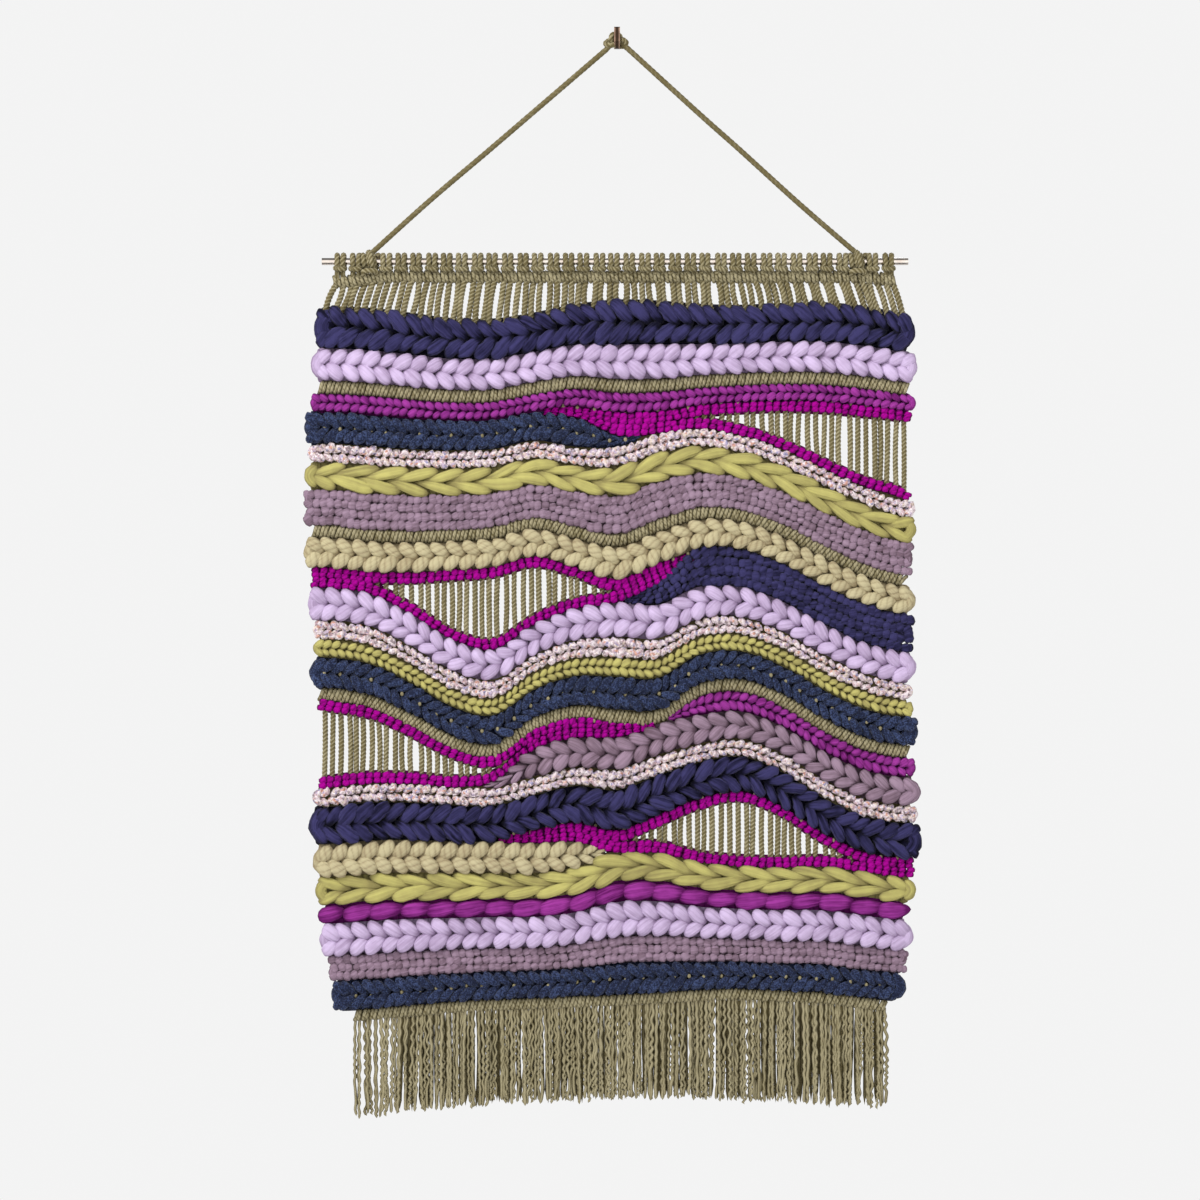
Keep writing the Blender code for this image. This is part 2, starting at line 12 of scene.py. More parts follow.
import bpy
import numpy as np
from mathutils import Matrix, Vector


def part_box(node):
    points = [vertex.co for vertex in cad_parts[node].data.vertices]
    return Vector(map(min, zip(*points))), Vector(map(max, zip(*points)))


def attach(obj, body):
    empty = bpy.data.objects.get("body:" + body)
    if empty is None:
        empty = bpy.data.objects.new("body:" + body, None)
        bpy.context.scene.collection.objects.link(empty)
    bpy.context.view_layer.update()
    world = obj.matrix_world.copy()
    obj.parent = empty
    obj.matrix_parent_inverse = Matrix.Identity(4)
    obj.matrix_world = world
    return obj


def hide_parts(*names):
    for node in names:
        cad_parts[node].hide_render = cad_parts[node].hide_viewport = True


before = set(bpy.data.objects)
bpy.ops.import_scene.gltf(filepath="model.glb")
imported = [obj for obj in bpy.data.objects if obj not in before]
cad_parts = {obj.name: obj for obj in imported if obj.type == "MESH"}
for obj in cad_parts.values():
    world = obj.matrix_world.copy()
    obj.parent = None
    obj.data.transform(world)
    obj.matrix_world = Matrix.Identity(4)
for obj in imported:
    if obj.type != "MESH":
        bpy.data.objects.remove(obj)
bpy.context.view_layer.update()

TURN = 2 * math.pi
FRONT = np.array([0.0, -1.0, 0.0])
SIDEWAYS = np.array([1.0, 0.0, 0.0])

# The rod and the plane of the warp, read from the frame
ROD_LOW, ROD_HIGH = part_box("rod")
ROD_RADIUS = (ROD_HIGH.z - ROD_LOW.z) / 2
ROD_Z = (ROD_HIGH.z + ROD_LOW.z) / 2
WARP_Y = (ROD_HIGH.y + ROD_LOW.y) / 2

# Warp cords of three plies. PLY_STEP is a third of their lay. The depths are how far the plies stand out, in
# a knot, along the warp and in the hanging cord's legs. The last shares are those of the radius for a cord
# hung bare, stretched over a slit, in the legs, in turns, in a knot and in its bar
CORD = 0.0046
RADIUS = CORD / 2
PLIES = 3
PLY_STEP = 0.0034
PLY_DEPTH = 0.12
WARP_DEPTH = 0.145
LEG_DEPTH = 0.055
RING_STEP = 0.0011
BARE, TAUT, LEG, TURNED, KNOTTED, BAR = 1.17, 1.03, 1.04, 1.06, 1.03, 1.08

# The knots that hold the warp on the rod, and the warp's spread below them
KNOTS = 37
KNOT_PITCH = 0.01297
FIRST_KNOT_X = -0.2359
HANGING_KNOTS = (2, 34)
CORDS_APART = 0.0058
SPREAD = 1.045
MIDDLE_X = -0.0017

# The hanging cord's line from its left foot over the hook to its right foot, and the bar of the lark's head
# under each foot
Level = namedtuple("Level", "x z")
CORD_LINE = (
    Level(-0.1595, -0.1419),
    Level(-0.1083, -0.0984),
    Level(-0.0572, -0.0545),
    Level(-0.0145, -0.0178),
    Level(-0.0088, -0.0128),
    Level(-0.0048, -0.0078),
    Level(0.0000, -0.0040),
    Level(0.0048, -0.0078),
    Level(0.0088, -0.0124),
    Level(0.0128, -0.0157),
    Level(0.0708, -0.0686),
    Level(0.1049, -0.0989),
    Level(0.1560, -0.1453),
)
Spot = namedtuple("Spot", "x forward z")
HEAD_BAR = (
    Spot(-0.0056, 0.0030, -0.0125),
    Spot(-0.0052, 0.0070, -0.0092),
    Spot(0.0000, 0.0088, -0.0086),
    Spot(0.0052, 0.0070, -0.0092),
    Spot(0.0056, 0.0030, -0.0125),
)

# Half a lark's head, from the middle of its bight over the rod and down behind into the ridge
OVER = ROD_RADIUS + RADIUS
HALF_HEAD = (
    Spot(0.0000, 0.0080, -0.0072),
    Spot(0.0018, 0.0079, -0.0072),
    Spot(0.0034, 0.0064, -0.0068),
    Spot(0.0038, 0.0034, -0.0060),
    Spot(0.0034, 0.0000, -0.0056),
    Spot(0.0029, -0.0038, -0.0039),
    Spot(0.0027, -OVER, 0.0000),
    Spot(0.0027, -0.0038, 0.0038),
    Spot(0.0027, 0.0000, OVER + 0.0001),
    Spot(0.0026, 0.0038, 0.0038),
    Spot(0.0024, OVER + 0.0001, 0.0000),
    Spot(0.0022, 0.0050, -0.0035),
    Spot(0.0022, 0.0036, -0.0070),
    Spot(0.0025, 0.0018, -0.0105),
    Spot(0.0028, 0.0003, -0.0140),
)

# Heading ridge under the knots, and the hem ridge with the ends of the fringe
RIDGE_TALL = 0.0088
HITCH_PITCH = 0.0066
HEADING_Z = -0.2078
HEADING_SAG = 0.0045
HEM = (
    Level(-0.224, -0.8370),
    Level(-0.130, -0.8290),
    Level(0.000, -0.8240),
    Level(0.096, -0.8185),
    Level(0.180, -0.8220),
    Level(0.229, -0.8290),
)
FRINGE_END = (
    Level(-0.224, -0.9230),
    Level(-0.100, -0.9110),
    Level(0.030, -0.9065),
    Level(0.150, -0.9100),
    Level(0.232, -0.9140),
)
FRINGE_RIGHT = 0.2275

# The fringe's plies, in two layers: how many, with how many rings, their radius and crimp, how far behind the
# warp's plane they hang, and where they begin
Layer = namedtuple("Layer", "count steps radius crimp behind left")
FRONT_LAYER = Layer(200, 48, 0.00132, 0.00086, (-0.0034, 0.0004), -0.2225)
BACK_LAYER = Layer(190, 12, 0.00150, 0.00015, (0.0016, 0.0040), -0.1825)

# Columns of the bands' solids, and how much slimmer each band's end face is
COLUMN_PITCH = 0.035
END_SLIM = 0.62

# How each kind of braid is laid. pitch is the step along the band, reach how far a lock runs in steps, plump
# its half width and outer and seam its ends' places, all in half heights of the band. centre is how far its
# middle stands forward of the warp at its crest, and thick its half thickness there. point is how early it
# narrows to its tip, and rows is 1 for a soumak, whose single row of locks lies slantwise
Braid = namedtuple("Braid", "rows pitch reach plump outer seam point centre thick sway steps sides")
BRAIDS = {
    "chunky": Braid(2, 0.0130, 1.50, 0.36, 0.87, 0.03, 2.8, 0.0082, 0.0050, 0.18, 14, 10),
    "smooth": Braid(2, 0.0136, 1.30, 0.47, 0.79, 0.02, 2.8, 0.0070, 0.0050, 0.08, 12, 9),
    "chenille": Braid(2, 0.0094, 1.55, 0.33, 0.82, 0.06, 2.8, 0.0068, 0.0046, 0.14, 12, 9),
    "tape": Braid(2, 0.0250, 1.66, 0.50, 0.80, 0.05, 2.0, 0.0056, 0.0036, 0.12, 18, 9),
    "small": Braid(2, 0.0070, 1.12, 0.42, 0.72, 0.17, 3.4, 0.0050, 0.0036, 0.12, 8, 7),
    "boucle": Braid(2, 0.0070, 1.28, 0.40, 0.74, 0.18, 3.0, 0.0054, 0.0034, 0.20, 8, 7),
    "soumak": Braid(1, 0.0240, 1.36, 0.98, 0.22, -0.22, 2.4, 0.0050, 0.0046, 0.10, 18, 9),
}

# Which braid each band is, which way its points run, and how lumpy its yarn is
Band = namedtuple("Band", "node yarn braid way lumps")
BANDS = (
    Band("braid_navy_1", "navy", "chunky", 1, 0.08),
    Band("braid_lilac_1", "lilac", "smooth", -1, 0.02),
    Band("braid_plum_1", "plum", "small", 1, 0.04),
    Band("braid_denim_1", "denim", "chenille", 1, 0.08),
    Band("braid_tweed_1", "tweed", "boucle", -1, 0.14),
    Band("braid_lime_1", "lime", "tape", -1, 0.03),
    Band("braid_sage_1", "sage", "smooth", 1, 0.03),
    Band("braid_lilac_2", "lilac", "smooth", 1, 0.02),
    Band("braid_tweed_2", "tweed", "boucle", 1, 0.14),
    Band("braid_lime_2", "lime", "small", -1, 0.04),
    Band("braid_denim_2", "denim", "chenille", -1, 0.08),
    Band("braid_plum_2", "plum", "small", -1, 0.04),
    Band("braid_mauve_1", "mauve", "smooth", 1, 0.03),
    Band("braid_tweed_3", "tweed", "boucle", -1, 0.14),
    Band("braid_navy_2", "navy", "chunky", -1, 0.08),
    Band("braid_sage_2", "sage", "smooth", -1, 0.03),
    Band("braid_lime_3", "lime", "tape", 1, 0.03),
    Band("braid_plum_3", "plum", "soumak", 1, 0.03),
    Band("braid_lilac_3", "lilac", "smooth", 1, 0.02),
    Band("braid_denim_3", "denim", "chenille", 1, 0.08),
)
WEAVES = (("weave_mauve_1", "mauve"), ("weave_navy_1", "navy"), ("weave_mauve_2", "mauve"))
RIDGES = ("ridge_1", "ridge_2", "ridge_3")
SLITS = ("slit_1", "slit_2", "slit_3", "slit_4")

# Plain weave and rope rows. row is their height, centre and thick as for a braid, lumps the yarn's
# unevenness, stagger the shift from row to row in pitches, plump a stitch's half width in rows, and steps its
# rings and their places round
Weave = namedtuple("Weave", "row pitch centre thick lumps stagger plump steps")
PLAIN = Weave(0.0078, 0.0061, 0.0036, 0.0034, 0.07, 0.25, 0.58, 7)
ROPE = Weave(0.0040, 0.0066, 0.0034, 0.0026, 0.03, 0.08, 0.69, 6)
WARP_ROOM = 0.0066

# Colour of each yarn, linear, in painted shade and in painted light; its streaks, tone and mottle also go
# between the two
Yarn = namedtuple("Yarn", "shade light")
YARNS = {
    "navy": Yarn((0.0035, 0.0030, 0.014), (0.039, 0.035, 0.114)),
    "lilac": Yarn((0.285, 0.205, 0.325), (0.535, 0.420, 0.615)),
    "plum": Yarn((0.100, 0.006, 0.090), (0.285, 0.034, 0.262)),
    "olive": Yarn((0.120, 0.097, 0.043), (0.328, 0.288, 0.176)),
    "magenta": Yarn((0.086, 0.000, 0.062), (0.318, 0.000, 0.226)),
    "denim": Yarn((0.009, 0.013, 0.036), (0.050, 0.074, 0.172)),
    "lime": Yarn((0.235, 0.202, 0.076), (0.440, 0.402, 0.132)),
    "mauve": Yarn((0.120, 0.075, 0.100), (0.300, 0.206, 0.276)),
    "sage": Yarn((0.290, 0.232, 0.135), (0.450, 0.395, 0.240)),
}

# Finish of the combed yarns. fine is the scale of their fibres and drawn how far these are drawn out along
# the yarn, bump its depth and fluff its loose fibres. streak is how much the fibres change the colour, and
# groove how much painted shade in the hollows and painted light on the crests change it,
# level where that painted shade ends. lay is the step of plies laid across, at a slope, or 0 for none, and
# marked is for a yarn whose plies show only on pieces with the plies mark
Fibre = namedtuple("Fibre", "fine drawn bump fluff groove level streak sheen lay slope marked")
FIBRES = {
    "navy": Fibre(420.0, 0.06, 0.0022, 0.35, 0.70, 0.80, 1.50, 0.05, 0.0, 0.0, False),
    "lilac": Fibre(620.0, 0.06, 0.0012, 0.08, 0.60, 0.80, 0.95, 0.04, 0.0, 0.0, False),
    "plum": Fibre(700.0, 0.05, 0.0010, 0.20, 0.60, 0.80, 1.20, 0.02, 0.0, 0.0, False),
    "olive": Fibre(1600.0, 0.05, 0.0005, 0.30, 0.75, 0.55, 0.75, 0.05, 0.0029, 0.9, True),
    "magenta": Fibre(1300.0, 0.05, 0.0004, 0.20, 1.00, 0.80, 0.75, 0.00, 0.0030, 0.9, False),
    "lime": Fibre(480.0, 0.03, 0.0016, 0.08, 0.60, 0.80, 0.95, 0.02, 0.0, 0.0, False),
    "mauve": Fibre(600.0, 0.06, 0.0014, 0.40, 0.60, 0.80, 1.20, 0.05, 0.0, 0.0, False),
    "sage": Fibre(800.0, 0.04, 0.0006, 0.20, 0.60, 0.80, 0.90, 0.03, 0.0050, 0.7, False),
}

# A tube's painted shading runs from 0, painted shade, to 1, painted light, at each point
Tubes = namedtuple("Tubes", "rings length girth tone relief")
Course = namedtuple("Course", "s x z half lean")


# Curves and rings

def smooth_line(places, values, at):
    """Cubic through the points (places, values): each stretch is the Hermite curve whose end slopes are the
    slopes between the neighbours on both sides."""
    slope = np.gradient(values, places)
    i = np.clip(np.searchsorted(places, at) - 1, 0, len(places) - 2)
    step = places[i + 1] - places[i]
    t = np.clip((at - places[i]) / step, 0.0, 1.0)
    rise = t * t * (3 - 2 * t)
    start = values[i] * (1 - rise) + values[i + 1] * rise
    return start + step * (slope[i] * t * (1 - t) ** 2 - slope[i + 1] * t * t * (1 - t))


def smooth_step(t):
    """From 0 at t = 0 to 1 at t = 1, by t squared times 3 less 2 t."""
    t = np.clip(t, 0.0, 1.0)
    return t * t * (3 - 2 * t)


def unit(vectors):
    """Each vector over its own length."""
    return vectors / np.maximum(np.linalg.norm(vectors, axis=-1, keepdims=True), 1e-12)


def rounded_path(points, count):
    """Paths through given points, (K, M, 3) to (K, count, 3): each stretch is a Catmull-Rom cubic."""
    points = np.asarray(points, float)
    before, after = 2 * points[:, :1] - points[:, 1:2], 2 * points[:, -1:] - points[:, -2:-1]
    padded = np.concatenate([before, points, after], axis=1)
    at = np.linspace(0, points.shape[1] - 1 - 1e-9, count)
    i = at.astype(int)
    t = (at - i)[None, :, None]
    a, b, c, d = (padded[:, i + k] for k in range(4))
    return 0.5 * (2 * b + (c - a) * t + (2 * a - 5 * b + 4 * c - d) * t**2 + (3 * b - a - 3 * c + d) * t**3)


def path_length(paths):
    """The distance along each path to each of its points: the sum of the steps before it."""
    steps = np.linalg.norm(np.diff(paths, axis=1), axis=-1)
    return np.concatenate([np.zeros((len(paths), 1)), np.cumsum(steps, axis=1)], axis=1)


def evenly(path, count):
    """The same path, (1, M, 3), with its points moved to equal distances along it."""
    length = path_length(path)[0]
    at = np.linspace(0, length[-1], count)
    return np.stack([np.interp(at, length, path[0, :, axis]) for axis in range(3)], axis=-1)[None]


def round_ring(sides):
    """Angles round a yarn, a full turn in equal steps."""
    return TURN * np.arange(sides) / sides


def front_ring(sides):
    """Angles round a yarn seen from the front alone: all but one within 112 degrees of its front."""
    return np.append(np.radians(np.linspace(-112, 112, sides - 1)), math.pi)


def powered(wave, power):
    """A wave to a power, with the wave's own sign."""
    return np.sign(wave) * np.abs(wave) ** power


def own_look(rng, count, darkest=0.0):
    """For each tube its tone, from darkest to 1, and its place in the yarn's streaks, 0 to 9 m along."""
    return rng.uniform(darkest, 1, count), rng.uniform(0, 9, count)


def sweep(paths, wide, deep, ring, reference=FRONT, profile=1.0, look=None, square=1.0):
    """Rings round each path P(u): P + deep c N + wide s B, times a profile for plies or lumps, where N is the
    reference direction made square to the path's own direction T, and B is T x N. c and s are the cosine and
    sine of the ring's angles, each to the power square, so that under 1 the ring is a rounded box. The
    painted shading is 0.55 + 4 (profile - 1): painted shade in the plies' grooves and the lumps' low places,
    painted light on their crests."""
    paths = np.asarray(paths, float)
    along = unit(np.gradient(paths, axis=1))
    normal = unit(reference - (along @ reference)[..., None] * along)
    across = np.cross(along, normal)
    c, s = powered(np.cos(ring).round(9), square), powered(np.sin(ring).round(9), square)
    wide = np.broadcast_to(wide, paths.shape[:2])
    deep = np.broadcast_to(deep, paths.shape[:2])
    out = deep[..., None, None] * c[:, None] * normal[:, :, None]
    out = out + wide[..., None, None] * s[:, None] * across[:, :, None]
    rings = paths[:, :, None] + out * np.asarray(profile)[..., None]
    relief = np.broadcast_to(0.55 + (np.asarray(profile) - 1) / 0.25, rings.shape[:3]).clip(0, 1)
    tone, offset = (np.full(len(paths), 0.5), np.zeros(len(paths))) if look is None else look
    girth = math.pi * (wide.mean(axis=1) + deep.mean(axis=1))
    return Tubes(rings, path_length(paths) + offset[:, None], girth, tone, relief)


def with_painted_shading(tubes, relief):
    """The same tubes with other painted shading, given for each ring's places or for all points."""
    return tubes._replace(relief=np.broadcast_to(relief, tubes.rings.shape[:3]))


def blunt(u, start=0.12, end=0.12):
    """Radius along a closed yarn end: a quarter ellipse over each end, 1 between them, 0.04 at the tips."""
    rise = np.sqrt(np.clip(1 - (1 - np.clip(u / start, 0, 1)) ** 2, 0, 1))
    fall = np.sqrt(np.clip(1 - (1 - np.clip((1 - u) / end, 0, 1)) ** 2, 0, 1))
    return np.maximum(rise * fall, 0.04)


def laid(paths, ring, depth=PLY_DEPTH, phase=0.0, step=PLY_STEP):
    """Radius round and along a laid cord, its crests the plies: 1 + depth (cos(plies a - 2 pi length / step)
    - 0.3) at the angle a."""
    twist = TURN * (path_length(paths) / step)[..., None] + np.reshape(phase, (-1, 1, 1))
    return 1 + depth * (np.cos(PLIES * ring[None, None] - twist) - 0.3)


def lumps(rng, tubes, steps, ring, amount):
    """Uneven thickness of a yarn: three waves of unlike lengths along and round it, with a phase a lock."""
    along = np.linspace(0, 1, steps)[None, :, None]
    total = np.zeros((tubes, steps, len(ring)))
    for waves, turns in ((1.3, 1), (2.7, 2), (4.3, 3)):
        phase = rng.uniform(0, TURN, (2, tubes, 1, 1))
        total = total + np.sin(TURN * waves * along + phase[0]) * np.sin(turns * ring[None, None] + phase[1])
    return 1 + amount * total


def mesh_of(name, groups):
    """One mesh from groups of tubes. Point (k, u, v) of a group is ring u, place v on tube k. Each tube is
    closed round v by wrapping, and closed at both ends by a face over its last ring. The yarn's UV map is the
    length along a tube and the distance round it."""
    points, corners, starts, uvs, tones, painted_shadings = [], [], [], [], [], []
    first_point, first_corner = 0, 0
    for group in groups:
        k, u, v, _ = group.rings.shape
        index = first_point + np.arange(k * u * v).reshape(k, u, v)
        beside = np.roll(index, -1, axis=2)
        quads = np.stack([index[:, :-1], beside[:, :-1], beside[:, 1:], index[:, 1:]], axis=-1)
        caps = np.concatenate([index[:, 0, ::-1], index[:, -1]])
        length = np.broadcast_to(group.length[:, :, None], (k, u, v))
        low = np.broadcast_to(np.arange(v) / v * group.girth[:, None, None], (k, u, v))
        high = low + (group.girth / v)[:, None, None]
        near, far = length[:, :-1], length[:, 1:]
        round_quads = [near, low[:, :-1], near, high[:, :-1], far, high[:, 1:], far, low[:, 1:]]
        uvs.append(np.stack(round_quads, axis=-1).ravel())
        uvs.append(np.stack([length[:, 0, ::-1], low[:, 0, ::-1]], axis=-1).ravel())
        uvs.append(np.stack([length[:, -1], low[:, -1]], axis=-1).ravel())
        points.append(group.rings.ravel())
        for faces, sides in ((quads, 4), (caps, v)):
            corners.append(faces.ravel())
            starts.append(first_corner + sides * np.arange(faces.size // sides))
            first_corner += faces.size
        tones.append(np.repeat(group.tone, u * v))
        painted_shadings.append(group.relief.ravel())
        first_point += k * u * v
    points, corners, starts = np.concatenate(points), np.concatenate(corners), np.concatenate(starts)
    mesh = bpy.data.meshes.new(name)
    mesh.vertices.add(first_point)
    mesh.vertices.foreach_set("co", points.astype(np.float32))
    mesh.loops.add(len(corners))
    mesh.loops.foreach_set("vertex_index", corners.astype(np.int32))
    mesh.polygons.add(len(starts))
    mesh.polygons.foreach_set("loop_start", starts.astype(np.int32))
    mesh.update(calc_edges=True)
    mesh.uv_layers.new(name="yarn").data.foreach_set("uv", np.concatenate(uvs).astype(np.float32))
    put_attribute(mesh, "tone", np.concatenate(tones))
    # Painted shading of each point, which the materials turn into painted shade and light
    put_attribute(mesh, "relief", np.concatenate(painted_shadings))
    mesh.shade_smooth()
    return mesh


def put_attribute(mesh, name, values):
    """Gives each point of a mesh its number under a name that the materials read."""
    mesh.attributes.new(name, "FLOAT", "POINT").data.foreach_set("value", values.astype(np.float32))


def add_piece(name, groups, yarn, replaces=()):
    """A piece of the tapestry from groups of tubes, in one yarn, riding with the whole."""
    piece = bpy.data.objects.new(name, mesh_of(name, groups))
    bpy.context.scene.collection.objects.link(piece)
    piece.data.materials.append(materials[yarn])
    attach(piece, "root")
    if replaces:
        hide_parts(*replaces)
    return piece


def mark(piece, name):
    """Marks a piece for what is in its material, not in its rings: its cord's plies, or its weft's cells."""
    put_attribute(piece.data, name, np.ones(len(piece.data.vertices)))


# Courses, read from the bands' solids

def band_columns(node):
    """Places along a band's solid where it has a full section, and the points of each section."""
    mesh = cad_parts[node].data
    points = np.zeros(len(mesh.vertices) * 3)
    mesh.vertices.foreach_get("co", points)
    points = points.reshape(-1, 3)
    x = points[:, 0].round(5)
    on_column = np.abs(x / COLUMN_PITCH - np.round(x / COLUMN_PITCH)) < 0.002
    keep = on_column | (x == x.min()) | (x == x.max())
    places = np.unique(x[keep])
    return places, [points[x == place] for place in places]


def band_edges(node):
    """Lower and upper edge of a band at its columns, its two slimmer end faces brought to full height."""
    places, sections = band_columns(node)
    low = np.array([section[:, 2].min() for section in sections])
    high = np.array([section[:, 2].max() for section in sections])
    for end in (0, -1):
        middle, half = (low[end] + high[end]) / 2, (high[end] - low[end]) / 2 / END_SLIM
        low[end], high[end] = middle - half, middle + half
    return places, low, high


def course_along(x, z, half):
    """A course on the line (x, z): s is the sum of its steps, and lean the angle of its slope."""
    s = np.concatenate([[0.0], np.cumsum(np.hypot(np.diff(x), np.diff(z)))])
    return Course(s, x, z, half, np.arctan2(np.gradient(z), np.gradient(x)))


def course_between(places, low, high, least=0.0008):
    """The course midway between two edges. half is half the height between them, times the cosine of the
    lean, and least at the least."""
    x = np.linspace(places[0], places[-1], 400)
    below, above = smooth_line(places, low, x), smooth_line(places, high, x)
    course = course_along(x, (below + above) / 2, None)
    return course._replace(half=np.maximum((above - below) / 2 * np.cos(course.lean), least))


def straight_course(line_z, start, end, lift=0.0):
    """The course of a ridge from start to end, along the line z = line_z(x), raised by lift."""
    x = np.linspace(start, end, 300)
    course = course_along(x, line_z(x), np.full(300, RIDGE_TALL / 2))
    return course._replace(z=course.z + lift)


def half_at(course, s):
    """Half the band's height at the distance s."""
    return np.interp(s, course.s, course.half)


def on_course(course, s, across, forward):
    """World points of (s along, across, forward) on a course. Past its ends the course runs on straight."""
    s, across, forward = np.broadcast_arrays(s, across, forward)
    beyond = s - np.clip(s, course.s[0], course.s[-1])
    lean = np.interp(s, course.s, course.lean)
    x = np.interp(s, course.s, course.x) + beyond * np.cos(lean) - across * np.sin(lean)
    z = np.interp(s, course.s, course.z) + beyond * np.sin(lean) + across * np.cos(lean)
    return np.stack([x, WARP_Y - forward, z], axis=-1)


# Wefts

def shaded_hollows(tubes, crest):
    """The same stitches with painted shade in their hollows: their painted shading is set by how far forward
    a point stands, 0.05 up to 0.48 of the crest, 0.95 from 0.90 of it, and a smooth step between."""
    forward = (WARP_Y - tubes.rings[..., 1]) / crest[..., None]
    return with_painted_shading(tubes, 0.05 + 0.90 * smooth_step((forward - 0.48) / 0.42))


def braid_locks(course, kind, way, lumpy, rng):
    """Locks of a chained braid, two rows of them in points like arrow heads. With u from 0 at a lock's outer
    end to 1 at its tip in the seam: along = way reach pitch (u - 1/2), across = side half (outer to seam, by
    a smooth step), forward = a half wave from the ground up to centre and down again. Its half width is
    plump half (1 - u^point)^0.6 (1 - (1 - u)^5)^0.5. A lock whose reach would pass the band's end is
    shortened, down to a pitch at the least."""
    ground = 0.0012
    length = course.s[-1]
    count = max(2, round(length / kind.pitch))
    pitch = length / count
    s0 = np.repeat((np.arange(count) + 0.5) * pitch, kind.rows)
    side = np.tile([-1.0, 1.0][: kind.rows], count)
    total = len(s0)
    s0 = s0 + rng.normal(0, kind.sway * 0.3 * pitch, total) + side * 0.10 * pitch
    size = (1 + rng.normal(0, kind.sway * 0.55, total))[:, None]
    u = np.linspace(0, 1, kind.steps)[None]
    reach = kind.reach * pitch * (1 + rng.normal(0, kind.sway * 0.4, total))
    reach = np.minimum(reach, np.maximum(2 * np.minimum(s0, length - s0), pitch))
    inset = reach / 2 + (0.14 if kind.rows == 2 else -0.35) * np.median(course.half)
    s0 = np.clip(s0, inset, np.maximum(length - inset, inset))[:, None]
    s = s0 + way * reach[:, None] * (u - 0.5)
    half = half_at(course, np.clip(s0, 0, length))
    outer = kind.outer + rng.normal(0, kind.sway * 0.25, total)[:, None]
    across = side[:, None] * half * (outer + (kind.seam - outer) * smooth_step(u * 0.92 + 0.05))
    fit = np.clip(half / (0.9 * half_at(course, course.s).max()), 0.3, 1.15)
    wave = np.sin(math.pi * (0.20 + 0.74 * u)) ** 0.8
    forward = ground + (kind.centre - ground) * wave * fit * size
    shape = (1 - u**kind.point) ** 0.6 * np.sqrt(1 - (1 - u) ** 5) + 0.03
    wide = kind.plump * half * size * shape
    deep = kind.thick * fit * size * shape
    paths = on_course(course, s, across, forward)
    ring = front_ring(kind.sides)
    profile = lumps(rng, total, kind.steps, ring, lumpy)
    locks = sweep(paths, wide, deep, ring, FRONT, profile, own_look(rng, total), 0.72)
    return shaded_hollows(locks, (kind.centre + kind.thick) * fit)


def end_turns(course, spans, plump, centre, thick, rng):
    """Where a weft yarn turns round the outermost warp cord, a crescent from one row to another. A span holds
    the end, 0 or 1, and the two rows' places across in half heights. With u from 0 to 1 along the crescent:
    across runs evenly between them, along = inward of the end by (0.34 + 0.52 (1 - sin pi u)) / 1.4 of the
    height it spans, and forward = 0.6 mm + centre sin^0.5 (pi (0.12 + 0.76 u))."""
    spans = np.array(spans, float)
    steps, count = 16, len(spans)
    u = np.linspace(0, 1, steps)[None]
    at_end = spans[:, :1]
    end = at_end * course.s[-1]
    half = half_at(course, end)
    reach = half * (spans[:, 2:] - spans[:, 1:2]) / 1.4
    s = end + (1 - 2 * at_end) * reach * (0.34 + 0.52 * (1 - np.sin(math.pi * u)))
    across = half * (spans[:, 1:2] + (spans[:, 2:] - spans[:, 1:2]) * np.where(at_end > 0.5, 1 - u, u))
    forward = 0.0006 + centre * np.sin(math.pi * (0.12 + 0.76 * u)) ** 0.5
    shape = blunt(u, 0.2, 0.2)
    ring = round_ring(10)
    profile = lumps(rng, count, steps, ring, 0.05)
    paths = on_course(course, s, across, forward)
    turns = sweep(paths, plump * half * shape, thick * shape, ring, FRONT, profile, own_look(rng, count))
    # Painted shade by facing: the crescent lighter on its front, darker round its back
    return with_painted_shading(turns, 0.50 + 0.40 * np.cos(ring))


def woven_rows(course, kind, rng):
    """Stitches of plain weave in rows of equal height, shifted by stagger of a pitch from row to row. Each is
    an upright bead: along from -0.52 to 0.52 of a pitch, forward = 1 mm + centre cos^1.5 of the way along,
    half width plump rows, drawn in at both ends by a quarter ellipse."""
    length = course.s[-1]
    rows = max(1, round(2 * np.median(course.half) / kind.row))
    count = round(length / kind.pitch)
    row, stitch = (a.ravel() for a in np.meshgrid(np.arange(rows), np.arange(count), indexing="ij"))
    step = length / count
    total = row.size
    s0 = (stitch + 0.5 + kind.stagger * ((row % 2) - 0.5)) * step + rng.normal(0, 0.07 * step, total)
    half = half_at(course, np.clip(s0, 0, length))[:, None]
    ring = front_ring(kind.steps)
    u = np.linspace(-1, 1, kind.steps)[None]
    tall = 2 * half / rows
    slope = rng.normal(0.18, 0.10, total)[:, None] * tall
    s = s0[:, None] + 0.52 * step * u
    across = -half + (row[:, None] + 0.5) * tall + rng.normal(0, 0.05, total)[:, None] * tall + slope * u
    fit = np.clip(tall / kind.row, 0.25, 1.2)
    size = 1 + rng.normal(0, 0.08, total)[:, None]
    forward = 0.0010 + kind.centre * fit * size * np.cos(0.5 * math.pi * u * 0.98) ** 1.5
    shape = blunt((u + 1) / 2, 0.38, 0.38)
    paths = on_course(course, s, across, forward)
    profile = lumps(rng, total, kind.steps, ring, kind.lumps)
    wide, deep = kind.plump * tall * shape * size, kind.thick * fit * shape
    beads = sweep(paths, wide, deep, ring, FRONT, profile, own_look(rng, total), 0.8)
    return shaded_hollows(beads, (kind.centre + kind.thick) * fit)


